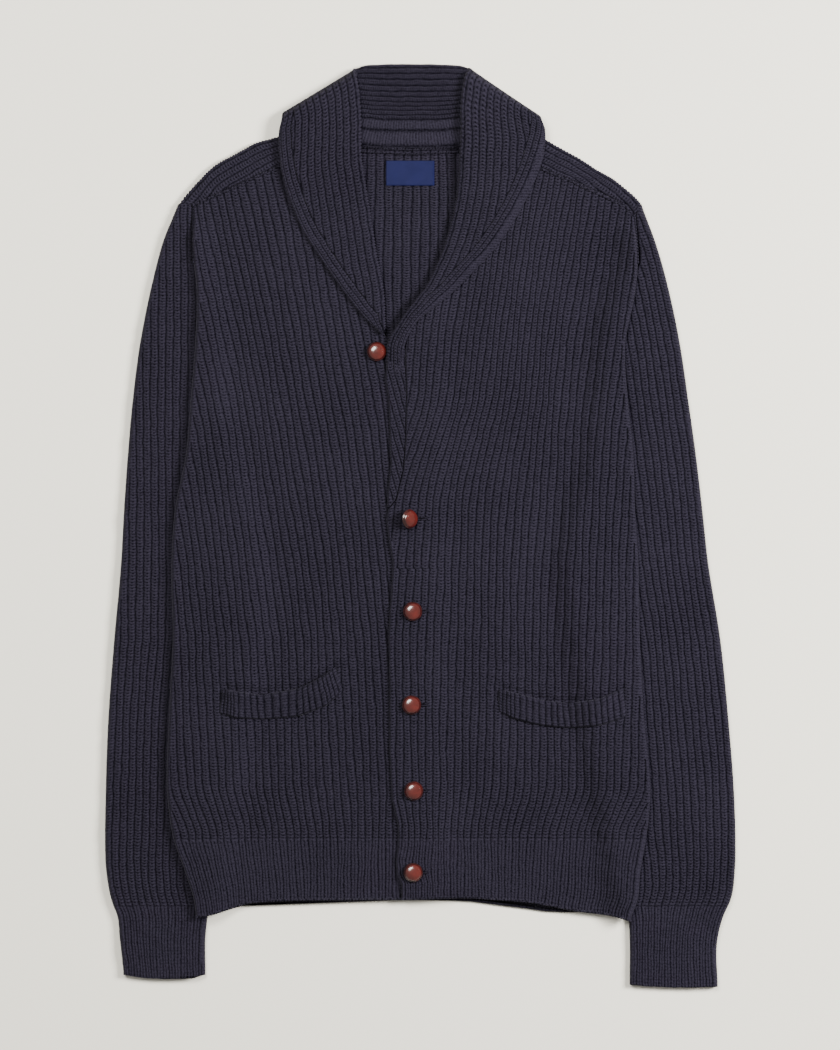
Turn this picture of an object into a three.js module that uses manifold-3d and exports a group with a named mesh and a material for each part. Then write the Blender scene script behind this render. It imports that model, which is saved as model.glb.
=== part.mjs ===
// Shawl collar cardigan in a chunky rib knit, laid flat on its back.
// Units are millimetres, +Z is up, and the origin is the middle of the floor under the garment.
// +Y runs to the collar. The wearer's right side is at -X, because the front faces up.
import * as THREE from 'three';
import { mergeVertices } from 'three/addons/utils/BufferGeometryUtils.js';
import Module from 'manifold-3d';

const wasm = await Module();
wasm.setup();

// Knit and layer sizes.
const WALL = 2.4;
const RIB_HEIGHT = 1.0;
const BODY_RIB = 7.0;
const SLEEVE_RIB = 6.8;
const BACK_RIB = 8.2;
const HEM_RIB = 6.0;
const CUFF_RIB = 5.3;
const TONGUE_RIB = 5;
const LAYER_GAP = 0.9;
const SEAM = 0.4;
const BACK_INSET = 0.3;
const RAMP = 26;
const BODY_ROUND = { reach: 6, depth: 1.6 };
const SLEEVE_ROUND = { reach: 7, depth: 2.4 };

// Heights of the stacked layers.
const SLEEVE_TOP = 5.8;
const SLEEVE_VOID = { low: 2.5, high: 3.3, inset: 4 };
const LIFT = SLEEVE_TOP + RIB_HEIGHT + 0.5;
const BACK_TOP = 2.6;
const BACK_VALLEY = BACK_TOP + 0.1;
const FRONT_UNDER = BACK_TOP + 0.5;
const UNDERLAP_TOP = FRONT_UNDER + 2.6;
const OVERLAP_RISE = 3.0;
const OVERLAP_END = 9;
const PLAIN_UNDERLAP = 5;

// Heights down the garment, the tops of the hem and cuff ribs, and the ends of the panels.
const TOP_ROW = 362;
const HEM_TOP = -289;
const CUFF_TOP = -347;
const LOWEST_ROW = -430;
const ROWS = [TOP_ROW, 294, 263, 217, 166, 115, 65, 14, -32, -105, -179, -253, HEM_TOP];
const HEM_ROWS = [-293, -317, -338, -372];
const SLEEVE_ROWS = [300, 263, 217, 166, 115, 65, 14, -32, -105, -179, -253, -289, -317, CUFF_TOP];
const CUFF_ROWS = [-352, -381, LOWEST_ROW];

// One row for each height: the sleeve's outer fold, its hidden inner fold under the body,
// the body's side fold, and how far the body has climbed onto the sleeve, from 0 to 1.
const WEARER_RIGHT = [
  { y: 362, outer: -224, inner: -209.5, body: -208, climb: 0 },
  { y: 294, outer: -224, inner: -209.2, body: -208.7, climb: 0 },
  { y: 283, outer: -228.5, inner: -209.5, body: -209, climb: 0.2 },
  { y: 263, outer: -236.5, inner: -210, body: -209.5, climb: 1 },
  { y: 242, outer: -242.5, inner: -208.5, body: -208, climb: 1 },
  { y: 217, outer: -248.5, inner: -197, body: -205.5, climb: 1 },
  { y: 166, outer: -258.5, inner: -195, body: -207, climb: 1 },
  { y: 115, outer: -265, inner: -191, body: -211, climb: 1 },
  { y: 65, outer: -269.5, inner: -182, body: -215.5, climb: 1 },
  { y: 14, outer: -273, inner: -166, body: -225.5, climb: 1 },
  { y: -32, outer: -275.5, inner: -157, body: -228.5, climb: 1 },
  { y: -105, outer: -282, inner: -159, body: -227.5, climb: 1 },
  { y: -179, outer: -287.5, inner: -169, body: -231, climb: 1 },
  { y: -253, outer: -290, inner: -180, body: -232, climb: 1 },
  { y: -289, outer: -290.5, inner: -185, body: -226.5, climb: 1 },
  { y: -317, outer: -289.5, inner: -190, body: -216.5, climb: 1 },
  { y: -345, outer: -284.5, inner: -194, body: -208, climb: 1 },
  { y: -361, outer: -279, inner: -196, body: -206, climb: 1 },
  { y: -381, outer: -277, inner: -198, body: -206, climb: 1 },
  { y: -414, outer: -273.5, inner: -198, body: -206, climb: 1 },
];
const WEARER_LEFT = [
  { y: 362, outer: 204, inner: 197.5, body: 196, climb: 0 },
  { y: 294, outer: 204.5, inner: 197.5, body: 197, climb: 0 },
  { y: 283, outer: 208.5, inner: 198, body: 197.5, climb: 0.2 },
  { y: 263, outer: 216, inner: 199.5, body: 199, climb: 1 },
  { y: 242, outer: 222.5, inner: 200.5, body: 200, climb: 1 },
  { y: 217, outer: 229, inner: 188, body: 198, climb: 1 },
  { y: 166, outer: 239.5, inner: 176, body: 188.5, climb: 1 },
  { y: 115, outer: 247, inner: 172, body: 191, climb: 1 },
  { y: 65, outer: 254, inner: 165, body: 196, climb: 1 },
  { y: 14, outer: 260, inner: 151, body: 197.5, climb: 1 },
  { y: -32, outer: 265, inner: 142, body: 200.5, climb: 1 },
  { y: -105, outer: 276.5, inner: 149, body: 202, climb: 1 },
  { y: -179, outer: 284, inner: 162, body: 206, climb: 1 },
  { y: -253, outer: 289.5, inner: 174, body: 211.5, climb: 1 },
  { y: -289, outer: 290.5, inner: 181, body: 207.5, climb: 1 },
  { y: -317, outer: 290, inner: 185, body: 202.5, climb: 1 },
  { y: -345, outer: 286, inner: 189, body: 199.5, climb: 1 },
  { y: -361, outer: 279, inner: 192, body: 194, climb: 1 },
  { y: -381, outer: 274, inner: 193, body: 193, climb: 1 },
  { y: -424, outer: 274, inner: 193, body: 193, climb: 1 },
];
const SIDES = { right: WEARER_RIGHT, left: WEARER_LEFT };

// Points across each cuff's bottom edge, each hem, and each shoulder, from outside to the neck.
const CUFF_ENDS = {
  right: [[-273.5, -413.5], [-258, -416], [-227, -417.5], [-207, -416], [-198, -413]],
  left: [[274, -425], [257, -425.2], [239, -425.5], [221, -425], [193, -423]],
};
const HEM_RIGHT = [[-206, -360], [-184, -355], [-166, -350], [-148.5, -347.3], [-111, -346], [-17, -345]];
const HEM_LEFT = [[-17, -345], [18, -347], [55, -350], [92, -353], [129, -356], [165, -357], [193.5, -363.5]];
const SHOULDERS = {
  right: {
    fold: [[-223, 296], [-206, 316], [-192, 330], [-170, 343], [-153, 352], [-130, 359]],
    seam: [[-209, 295], [-195, 301], [-178, 308], [-153, 320], [-132, 330], [-111, 339]],
  },
  left: {
    fold: [[204, 296], [200, 301], [183, 316], [165, 327], [139, 343], [115, 356]],
    seam: [[196.5, 285], [191, 292], [175, 300], [139, 317], [114, 327], [95, 337]],
  },
};

// How far each front's ribs have leant outwards by a height, counted from the hem.
const RIB_LEAN = [
  { y: 362, right: 91, left: 52 },
  { y: 272, right: 72, left: 36 },
  { y: 180, right: 53, left: 22 },
  { y: 88, right: 35, left: 12 },
  { y: -32, right: 16, left: 4 },
  { y: -105, right: 7, left: 2 },
  { y: -253, right: 0, left: 0 },
];
const FRONT_RIB_START = -31.4;
const HEM_MIDDLE = -20;

// The right sleeve's ribs hang straight down above this height, so its slanting fold cuts them.
const UPRIGHT_RIBS = { above: -105, start: -282 };
const MITRE_SWING = { size: 9, low: 15, high: 120, ribs: 16 };

// The wearer's left front edge, and the mitre where the collar's end meets that front.
const FRONT_EDGE = [
  [-30.5, 170], [-30.5, 152], [-32, 134], [-29, 119], [-28, 89], [-27, 58], [-30, 27], [-31, 5],
  [-29, -10], [-25, -35], [-27, -68], [-29, -100], [-28, -150], [-28, -207], [-26, -252],
  [-20, -277], [-20, -297], [-22, -316], [-21, -334], [-17, -345],
];
const MITRE = [[-14, 166], [-14, 148], [-13, 119], [-14, 79], [-16, 51], [-23, 23], [-29.5, 16]];

// One row for each station along the collar: its free edge, its roll line and its neck seam,
// the height of the middle of the fold, and which way the fall lies from the stand.
const COLLAR_RIGHT_HALF = [
  { free: [-36, 176], roll: [-32, 182], seam: [-33.5, 178], mid: 7.4, turn: 0 },
  { free: [-51, 191], roll: [-32, 196], seam: [-39, 191], mid: 7.4, turn: 0 },
  { free: [-68, 212], roll: [-34, 221], seam: [-50, 214], mid: 7.4, turn: 0 },
  { free: [-85, 236], roll: [-39, 246], seam: [-65, 237], mid: 7.4, turn: 0 },
  { free: [-99, 257], roll: [-43, 272], seam: [-78, 259], mid: 7.4, turn: 0 },
  { free: [-110, 276], roll: [-47, 297], seam: [-89, 281], mid: 7.4, turn: 0 },
  { free: [-119, 298], roll: [-51, 322], seam: [-98, 301], mid: 8.2, turn: 0 },
  { free: [-126, 320], roll: [-54, 345], seam: [-104, 321], mid: 9.6, turn: 0 },
  { free: [-129, 338], roll: [-54, 368], seam: [-108, 337], mid: 10, turn: 0 },
  { free: [-130, 352], roll: [-55, 388], seam: [-110, 350], mid: 10, turn: 0 },
  { free: [-129.5, 364], roll: [-57, 405], seam: [-111, 358], mid: 10, turn: 0 },
  { free: [-127, 374], roll: [-60, 413], seam: [-111, 362], mid: 9.6, turn: 0.15 },
  { free: [-126, 379], roll: [-61, 418], seam: [-110, 365], mid: 6.4, turn: 0.5 },
  { free: [-120, 377], roll: [-59, 418], seam: [-106, 366], mid: 3.3, turn: 0.85 },
  { free: [-108, 369], roll: [-54, 423.5], seam: [-92, 359], mid: 2.8, turn: 1 },
  { free: [-70, 359], roll: [-34, 425], seam: [-56, 350], mid: 2.8, turn: 1 },
];
const COLLAR_BACK = { free: [-8, 356], roll: [-8, 425.5], seam: [-8, 347.5], mid: 2.8, turn: 1 };
const COLLAR_LEFT_HALF = [
  { free: [-15, 162], roll: [-30, 172], seam: [-21, 168], mid: 9.6, turn: 0 },
  { free: [-4, 186], roll: [-20, 186], seam: [-10, 188], mid: 9.6, turn: 0 },
  { free: [15, 202], roll: [-7, 205], seam: [5, 206], mid: 9.6, turn: 0 },
  { free: [36, 220], roll: [5, 220], seam: [22, 225], mid: 8.6, turn: 0 },
  { free: [53, 238], roll: [14, 238], seam: [37, 242], mid: 7.6, turn: 0 },
  { free: [70, 256], roll: [22, 258], seam: [51, 261], mid: 7.4, turn: 0 },
  { free: [84, 276], roll: [28, 278], seam: [64, 280], mid: 7.4, turn: 0 },
  { free: [96, 297], roll: [32, 297], seam: [76, 299], mid: 7.6, turn: 0 },
  { free: [106, 318], roll: [35, 318], seam: [86, 319], mid: 8.6, turn: 0 },
  { free: [113, 338], roll: [36, 340], seam: [93, 336], mid: 10, turn: 0 },
  { free: [115, 352], roll: [37, 364], seam: [95, 349], mid: 10, turn: 0 },
  { free: [115, 361], roll: [37, 386], seam: [96, 357], mid: 10, turn: 0 },
  { free: [114, 367], roll: [39, 404], seam: [95, 361], mid: 10, turn: 0 },
  { free: [112, 372], roll: [43, 413], seam: [95, 363], mid: 9.6, turn: 0.15 },
  { free: [109, 376], roll: [47, 418], seam: [93, 365], mid: 6.4, turn: 0.5 },
  { free: [103, 374], roll: [44, 418], seam: [89, 366], mid: 3.3, turn: 0.85 },
  { free: [92, 367], roll: [38, 423.5], seam: [76, 359], mid: 2.8, turn: 1 },
  { free: [52, 359], roll: [18, 425], seam: [40, 350], mid: 2.8, turn: 1 },
];
const COLLAR_BAND = { ribs: 10, spacing: 3.2, foldSteps: 4, insideStep: 5 };
const SADDLE_BAND = { ribs: 3, spacing: 3.2, foldSteps: 2, insideStep: 3 };
const SADDLE_MID = 2.8;

// Which way the collar's fall lies behind the stand: on the right half, the back and the left half.
const FALL_BEHIND = { right: [-0.52, 0.85], back: [0, 1], left: [0.57, 0.82] };

// The back's neck edge and hem, and the heights of its ribs in the neck opening.
const BACK_NECK = [[-100, 348], [-81, 351.5], [-46, 351], [-8, 350.5], [30, 351], [66, 351.5], [86, 348]];
const BACK_HEM = [[190, -361], [129, -357], [55, -352], [-40, -344], [-111, -345], [-166, -349], [-203, -358]];
const BACK_RIB_ROWS = [352, 260, 166];
const TONGUE_ROWS = [172, 140, 110, 80, 50, 25, 14];

// Pocket welts: the curve of the bottom and top edges, from the side towards the front edge.
const POCKETS = {
  right: {
    bottom: [[-184, -173], [-170, -177], [-144, -179], [-112, -176], [-86, -166], [-71, -152]],
    top: [[-182, -150], [-170, -152], [-146, -155.5], [-112, -150], [-92, -140], [-78, -130]],
  },
  left: {
    bottom: [[72, -172], [88, -179], [114, -185], [140, -187], [165, -184], [190, -176]],
    top: [[72, -150], [88, -154], [114, -161], [137, -163], [163, -159.5], [187, -149]],
  },
};
const WELT_RIBS = 22;
const WELT_WALL = 2.2;
const WELT_EDGE = { share: 0.12, drop: 0.7 };

// Six domed leather buttons: the top one lies open on the wearer's right front, and the second
// is pulled over to its left side by its shank.
const BUTTON = { radius: 8.9, height: 6.4, rim: 2.2, shank: 1.4, hollow: 1.2, lip: 0.6, steps: 5, sides: 16 };
const BUTTONS = [
  { x: -40.2, y: 160, fastened: false, tilt: 0 },
  { x: -10.5, y: 6, fastened: true, tilt: 28 },
  { x: -7, y: -79, fastened: true, tilt: 0 },
  { x: -8, y: -165, fastened: true, tilt: 0 },
  { x: -6, y: -244, fastened: true, tilt: 0 },
  { x: -6.5, y: -319, fastened: true, tilt: 0 },
];
const BUTTONHOLE = { width: 4, end: 10 };
const LABEL = { x: [-31.5, 13], y: [313, 336], thickness: 0.7 };

const NAVY = new THREE.MeshStandardMaterial({ color: '#23273a', roughness: 0.95, metalness: 0 });
const LEATHER = new THREE.MeshStandardMaterial({ color: '#6d2a1c', roughness: 0.35, metalness: 0 });
const LABEL_BLUE = new THREE.MeshStandardMaterial({ color: '#1d2f66', roughness: 0.7, metalness: 0 });

const mix = (a, b, t) => a + (b - a) * t;
const clamp01 = (t) => Math.min(1, Math.max(0, t));
const mixPoint = (a, b, t) => a.map((value, i) => mix(value, b[i], t));

// Value of one named column at a height, between the rows of a table that runs downwards.
function columnAt(table, name, y) {
  const below = table.findIndex((row) => row.y <= y);
  if (below === 0) return table[0][name];
  if (below < 0) return table[table.length - 1][name];
  const high = table[below - 1];
  const low = table[below];
  return mix(low[name], high[name], (y - low.y) / (high.y - low.y));
}

// A point at a share of the way along a line of points, measured by their number.
function pointAlong(points, share) {
  const place = clamp01(share) * (points.length - 1);
  const first = Math.min(points.length - 2, Math.floor(place));
  return mixPoint(points[first], points[first + 1], place - first);
}

// X at a height on a line of points that runs downwards.
function lineX(points, y) {
  return columnAt(points.map(([x, height]) => ({ x, y: height })), 'x', y);
}

// Triangles between two lines of numbered points that run the same way.
function zip(first, second, flipped, triangles) {
  const lastA = first.length - 1;
  const lastB = second.length - 1;
  let a = 0;
  let b = 0;
  while (a < lastA || b < lastB) {
    const stepA = b === lastB || (a < lastA && (a + 1) * lastB <= (b + 1) * lastA);
    const corner = stepA ? [first[a], second[b], first[a + 1]] : [first[a], second[b], second[b + 1]];
    triangles.push(flipped ? corner.reverse() : corner);
    if (stepA) a += 1;
    else b += 1;
  }
}

// A closed wall between rows of outer points and as many rows of inner points.
function closedSheet(outerRows, innerRows) {
  const points = [];
  const number = (rows) => rows.map((row) => row.map((point) => points.push(point) - 1));
  const outer = number(outerRows);
  const inner = number(innerRows);
  const triangles = [];
  const last = outer.length - 1;
  for (let row = 0; row < last; row += 1) {
    zip(outer[row], outer[row + 1], false, triangles);
    zip(inner[row], inner[row + 1], true, triangles);
    zip([inner[row][0], outer[row][0]], [inner[row + 1][0], outer[row + 1][0]], false, triangles);
    zip([outer[row].at(-1), inner[row].at(-1)], [outer[row + 1].at(-1), inner[row + 1].at(-1)], false, triangles);
  }
  zip(inner[0], outer[0], false, triangles);
  zip(outer[last], inner[last], false, triangles);
  return solid(points.flat(), triangles.flat());
}

function solid(positions, indices) {
  const build = (list) => new wasm.Manifold(new wasm.Mesh({
    numProp: 3,
    vertProperties: new Float32Array(positions),
    triVerts: new Uint32Array(list),
  }));
  const body = build(indices);
  if (body.volume() > 0) return body;
  return build([...indices].reverse());
}

// A three.js geometry as a solid, with the vertices that coincide merged.
function solidFrom(geometry) {
  const bare = geometry.index ? geometry.clone() : geometry;
  bare.deleteAttribute('normal');
  bare.deleteAttribute('uv');
  const merged = mergeVertices(bare, 1e-4);
  return solid(Array.from(merged.attributes.position.array), Array.from(merged.index.array));
}

// An upright prism on an outline, for cutting a sheet to its plan.
function prism(outline, low = -5, high = 40) {
  const shape = new THREE.Shape(outline.map(([x, y]) => new THREE.Vector2(x, y)));
  const geometry = new THREE.ExtrudeGeometry(shape, { depth: high - low, bevelEnabled: false });
  geometry.translate(0, 0, low);
  return solidFrom(geometry);
}

// Columns across a ribbed face: a valley at each whole rib and a crest between.
function ribColumns(from, to) {
  const columns = [];
  for (let half = from * 2; half <= to * 2; half += 1) {
    columns.push({ rib: half / 2, rise: half % 2 === 0 ? 0 : RIB_HEIGHT });
  }
  return columns;
}

// How high the sleeve under the body's side lifts the body at a point.
function lift(x, y) {
  const table = x < 0 ? WEARER_RIGHT : WEARER_LEFT;
  const inner = Math.abs(columnAt(table, 'inner', y));
  return LIFT * columnAt(table, 'climb', y) * clamp01((Math.abs(x) - inner + RAMP) / RAMP);
}

// How high the wearer's left front stands where it lies over the right one.
function overlapRise(x) {
  return OVERLAP_RISE * clamp01((OVERLAP_END + RAMP - x) / RAMP);
}

// How far a cloth's edge rounds down within a few millimetres of a fold.
function foldDrop(distance, { reach, depth }) {
  const share = clamp01(1 - distance / reach);
  return depth * (1 - Math.sqrt(1 - share * share));
}

// Places across a plain underside at one height, with a point at each end of both ramps.
function undersidePlaces(y, from, to) {
  const right = columnAt(WEARER_RIGHT, 'inner', y);
  const left = columnAt(WEARER_LEFT, 'inner', y);
  const breaks = [right, right + RAMP, OVERLAP_END, OVERLAP_END + RAMP, left - RAMP, left];
  return [from, ...breaks.filter((x) => x > from + 1 && x < to - 1), to].sort((a, b) => a - b);
}

// The right front's ribs lean outwards as they rise, less so near the front edge.
function rightFrontX(rib, y) {
  const share = mix(0.75, 1, clamp01((rib + 8) / 16));
  return FRONT_RIB_START - BODY_RIB * rib - share * columnAt(RIB_LEAN, 'right', y);
}

// The left front's ribs lean outwards too, and swing out above the mitre's lower end.
function leftFrontX(rib, y) {
  const { size, low, high, ribs } = MITRE_SWING;
  const swing = size * clamp01((y - low) / (high - low)) * clamp01((ribs - rib) / 12);
  return FRONT_RIB_START + BODY_RIB * rib + columnAt(RIB_LEAN, 'left', y) + swing;
}

// The hem's ribs draw in with the side folds, and less so towards the front edge.
function hemX(side, x, y) {
  const start = columnAt(SIDES[side], 'body', HEM_TOP);
  const share = clamp01((x - HEM_MIDDLE) / (start - HEM_MIDDLE));
  return x + (columnAt(SIDES[side], 'body', y) - start) * share * share;
}

// A front's wall: body ribs down to the hem, the hem's narrower ribs below, and a plain underside.
function ribbedFront(spec) {
  const { side, columns, hemColumns, placeX, hemStart, top, under, from, to } = spec;
  const outerRows = [
    ...ROWS.map((y) => columns.map(({ rib, rise }) => {
      const x = placeX(rib, y);
      return [x, y, top(x, y) + (spec.plain(x, y) ? 0 : rise)];
    })),
    ...HEM_ROWS.map((y) => hemColumns.map(({ rib, rise }) => {
      const x = hemX(side, hemStart(rib), y);
      return [x, y, top(x, y) + (spec.plain(x, y) ? 0 : rise)];
    })),
  ].map((row) => row.sort((a, b) => a[0] - b[0]));
  const innerRows = [...ROWS, ...HEM_ROWS].map((y, i) => {
    const first = outerRows[i][0][0];
    const final = outerRows[i].at(-1)[0];
    return undersidePlaces(y, Math.min(from, first), Math.max(to, final)).map((x) => [x, y, under(x, y)]);
  });
  innerRows.forEach((row, i) => {
    row[0][0] = outerRows[i][0][0];
    row.at(-1)[0] = outerRows[i].at(-1)[0];
  });
  return closedSheet(outerRows, innerRows);
}

// The body's side fold, moved inwards by an inset.
function sideEdge(side, inset) {
  const inward = side === 'right' ? inset : -inset;
  return SIDES[side]
    .filter((row) => row.y < 290 && row.y > -350)
    .map((row) => [row.body + inward, row.y]);
}

const shiftX = (points, by) => points.map(([x, y]) => [x + by, y]);
const seamLine = (half, from, to) => half.slice(from, to).map((station) => station.seam);
const shoulderEdge = (side) => SHOULDERS[side].seam.map(([x, y]) => [x, y - SEAM * 2]);

function makeFrontRight() {
  const under = (x, y) => FRONT_UNDER + lift(x, y);
  const edge = (x, y) => x - columnAt(WEARER_RIGHT, 'body', y);
  const sheet = ribbedFront({
    side: 'right',
    columns: ribColumns(-8, 30),
    hemColumns: ribColumns(-9, 37),
    placeX: rightFrontX,
    hemStart: (rib) => FRONT_RIB_START - HEM_RIB * rib,
    top: (x, y) => under(x, y) + WALL - foldDrop(edge(x, y), BODY_ROUND),
    plain: (x, y) => x > lineX(FRONT_EDGE, y) - PLAIN_UNDERLAP,
    under,
    from: -300,
    to: 20,
  });
  const outline = [
    ...shoulderEdge('right'),
    ...shiftX(seamLine(COLLAR_RIGHT_HALF, 0, 9).reverse(), -SEAM),
    [-20, 158],
    [OVERLAP_END, 154],
    [OVERLAP_END, -343.5],
    ...HEM_RIGHT.slice().reverse(),
    ...sideEdge('right', 0).reverse(),
  ];
  return sheet.intersect(prism(outline));
}

function makeFrontLeft() {
  const under = (x, y) => FRONT_UNDER + lift(x, y) + overlapRise(x);
  const edge = (x, y) => columnAt(WEARER_LEFT, 'body', y) - x;
  const sheet = ribbedFront({
    side: 'left',
    columns: ribColumns(-6, 36),
    hemColumns: ribColumns(-7, 42),
    placeX: leftFrontX,
    hemStart: (rib) => FRONT_RIB_START + HEM_RIB * rib,
    top: (x, y) => under(x, y) + WALL - foldDrop(edge(x, y), BODY_ROUND),
    plain: () => false,
    under,
    from: -60,
    to: 300,
  });
  const edgeBelowMitre = FRONT_EDGE.filter(([, y]) => y < 10);
  const outline = [
    ...shoulderEdge('left'),
    ...shiftX(seamLine(COLLAR_LEFT_HALF, 1, 10).reverse(), SEAM),
    ...shiftX(MITRE, SEAM),
    ...edgeBelowMitre,
    ...HEM_LEFT.slice(1),
    ...sideEdge('left', 0).reverse(),
  ];
  let front = sheet.intersect(prism(outline));
  for (const { x, y, fastened } of BUTTONS) {
    if (!fastened) continue;
    const half = BUTTONHOLE.width / 2;
    const start = x - half;
    front = front.subtract(prism([
      [start, y - half * 0.5], [x, y - half], [BUTTONHOLE.end - 2, y - half], [BUTTONHOLE.end, y],
      [BUTTONHOLE.end - 2, y + half], [x, y + half], [start, y + half * 0.5],
    ]));
  }
  return front;
}

// The collar's end below the break: a narrow band along the front edge, cut at the mitre.
function makeCollarTongue() {
  const columns = ribColumns(-1, 5);
  const placeX = (rib, y) => lineX(FRONT_EDGE, y) + TONGUE_RIB * rib;
  const under = (x) => FRONT_UNDER + overlapRise(x);
  const outer = TONGUE_ROWS.map((y) => columns.map(({ rib, rise }) => {
    const x = placeX(rib, y);
    return [x, y, under(x) + WALL + rise];
  }));
  const inner = outer.map((row) => [row[0], row.at(-1)].map(([x, y]) => [x, y, under(x)]));
  const outline = [
    ...MITRE,
    ...FRONT_EDGE.filter(([, y]) => y > 16).reverse(),
  ];
  return closedSheet(outer, inner).intersect(prism(outline));
}

function makeBack() {
  const rows = [...ROWS, ...HEM_ROWS];
  const places = (y) => undersidePlaces(y, -300, 300);
  const plain = closedSheet(
    rows.map((y) => places(y).map((x) => [x, y, BACK_TOP + lift(x, y)])),
    rows.map((y) => places(y).map((x) => [x, y, lift(x, y)])),
  );
  const outline = [
    ...shoulderEdge('right'),
    ...BACK_NECK,
    ...shoulderEdge('left').reverse(),
    ...sideEdge('left', BACK_INSET),
    ...BACK_HEM,
    ...sideEdge('right', BACK_INSET).reverse(),
  ];
  const columns = ribColumns(-13, 11);
  const place = ({ rib }, y, z) => [BACK_RIB * rib, y, z];
  const ribs = closedSheet(
    BACK_RIB_ROWS.map((y) => columns.map((column) => place(column, y, BACK_VALLEY + column.rise))),
    BACK_RIB_ROWS.map((y) => [columns[0], columns.at(-1)].map((column) => place(column, y, BACK_TOP / 2))),
  );
  const neckOpening = [
    ...shiftX(seamLine(COLLAR_RIGHT_HALF, 0, 9), 3),
    [-81, 345], [-8, 344], [66, 345],
    ...shiftX(seamLine(COLLAR_LEFT_HALF, 1, 10).reverse(), -3),
    [-20, 176],
  ];
  return plain.intersect(prism(outline)).add(ribs.intersect(prism(neckOpening)));
}

function makeSleeve(side) {
  const table = SIDES[side];
  const inwards = side === 'right' ? 1 : -1;
  const fold = (x, y) => Math.min(
    inwards * (x - columnAt(table, 'outer', y)),
    inwards * (columnAt(table, 'inner', y) - x),
  );
  const top = (x, y) => SLEEVE_TOP - foldDrop(fold(x, y), SLEEVE_ROUND);
  const firstRib = (y) => (
    side === 'right' && y > UPRIGHT_RIBS.above ? UPRIGHT_RIBS.start : columnAt(table, 'outer', y)
  );
  const row = (y, columns, pitch) => columns.map(({ rib, rise }) => {
    const x = firstRib(y) + inwards * pitch * rib;
    return [x, y, top(x, y) + rise];
  });
  const outer = [
    ...SLEEVE_ROWS.map((y) => row(y, ribColumns(-1, 19), SLEEVE_RIB)),
    ...CUFF_ROWS.map((y) => row(y, ribColumns(-1, 24), CUFF_RIB)),
  ];
  const inner = outer.map((points) => [points[0], points.at(-1)].map(([x, y]) => [x, y, 0]));
  const line = (name, inset) => table
    .filter(({ y }) => y <= 283 && y > -410)
    .map((entry) => [entry[name] + inset * inwards, entry.y]);
  const shoulder = SHOULDERS[side];
  const outline = [
    [shoulder.fold[0][0], shoulder.fold[0][1] - 2],
    ...line('outer', 0),
    ...CUFF_ENDS[side],
    ...line('inner', 0).reverse(),
    [shoulder.seam[0][0] - 0.8 * inwards, shoulder.seam[0][1] - 2],
  ];
  const { low, high, inset } = SLEEVE_VOID;
  const throughCuff = LOWEST_ROW - 10;
  const throughArmhole = SLEEVE_ROWS[0] + 10;
  const voidOutline = [
    ...line('outer', inset),
    [columnAt(table, 'outer', LOWEST_ROW) + inset * inwards, throughCuff],
    [columnAt(table, 'inner', LOWEST_ROW) - inset * inwards, throughCuff],
    ...line('inner', -inset).reverse(),
    [shoulder.seam[0][0] - 3 * inwards, throughArmhole],
    [shoulder.seam[0][0] - 8 * inwards, throughArmhole],
  ];
  return closedSheet(outer, inner)
    .intersect(prism(outline))
    .subtract(prism(voidOutline, low, high));
}

// One section of a folded band: the lower layer from its edge to the fold, then the upper one
// back to its own edge. turn runs from 0, where the second layer is on top, to 1, under the first.
function foldedSection(station, ribs, spacing, foldSteps) {
  const { free, roll, seam, mid, turn } = station;
  const across = new THREE.Vector2(roll[0] - (free[0] + seam[0]) / 2, roll[1] - (free[1] + seam[1]) / 2);
  across.normalize();
  const sideways = station.sideways ?? across;
  const angle = turn * Math.PI;
  const away = [sideways.x * Math.sin(angle), sideways.y * Math.sin(angle), Math.cos(angle)];
  const half = spacing / 2;
  const inset = half + WALL / 2 + RIB_HEIGHT;
  const centre = [roll[0] - across.x * inset, roll[1] - across.y * inset, mid];
  const section = [];
  const add = (point, normal, rise) => section.push({ point, normal, rise });
  const ribsOnFirst = turn > 0.4;
  for (let step = 0; step < ribs * 2; step += 1) {
    const t = step / (ribs * 2);
    const point = mixPoint([seam[0], seam[1], mid], centre, t);
    const rise = ribsOnFirst && step % 2 === 1 ? RIB_HEIGHT : 0;
    add(point.map((v, i) => v - away[i] * half), away.map((v) => -v), rise);
  }
  for (let step = 0; step <= foldSteps; step += 1) {
    const bend = (step / foldSteps) * Math.PI;
    const normal = away.map((v, i) => (
      -v * Math.cos(bend) + (i < 2 ? across.getComponent(i) * Math.sin(bend) : 0)
    ));
    add(centre.map((v, i) => v + normal[i] * half), normal, step % 2 === 1 ? RIB_HEIGHT : 0);
  }
  const ribsOnSecond = turn < 0.6;
  for (let step = 1; step <= ribs * 2; step += 1) {
    const t = step / (ribs * 2);
    const point = mixPoint(centre, [free[0], free[1], mid], t);
    const rise = ribsOnSecond && step % 2 === 1 ? RIB_HEIGHT : 0;
    add(point.map((v, i) => v + away[i] * half), away, rise);
  }
  return section;
}

// A wall through such sections, ribbed outside and plain and coarser inside.
function foldedBand(stations, { ribs, spacing, foldSteps, insideStep }) {
  const sections = stations.map((station) => foldedSection(station, ribs, spacing, foldSteps));
  const outer = sections.map((section) => section.map(({ point, normal, rise }) => (
    point.map((v, i) => v + normal[i] * (WALL / 2 + rise))
  )));
  const foldStart = ribs * 2;
  const foldEnd = foldStart + foldSteps;
  const inner = sections.map((section) => section
    .filter((entry, i) => (
      i % insideStep === 0 || i === section.length - 1 || (i >= foldStart && i <= foldEnd)
    ))
    .map(({ point, normal }) => point.map((v, i) => v - normal[i] * (WALL / 2))));
  return closedSheet(outer, inner);
}

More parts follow.
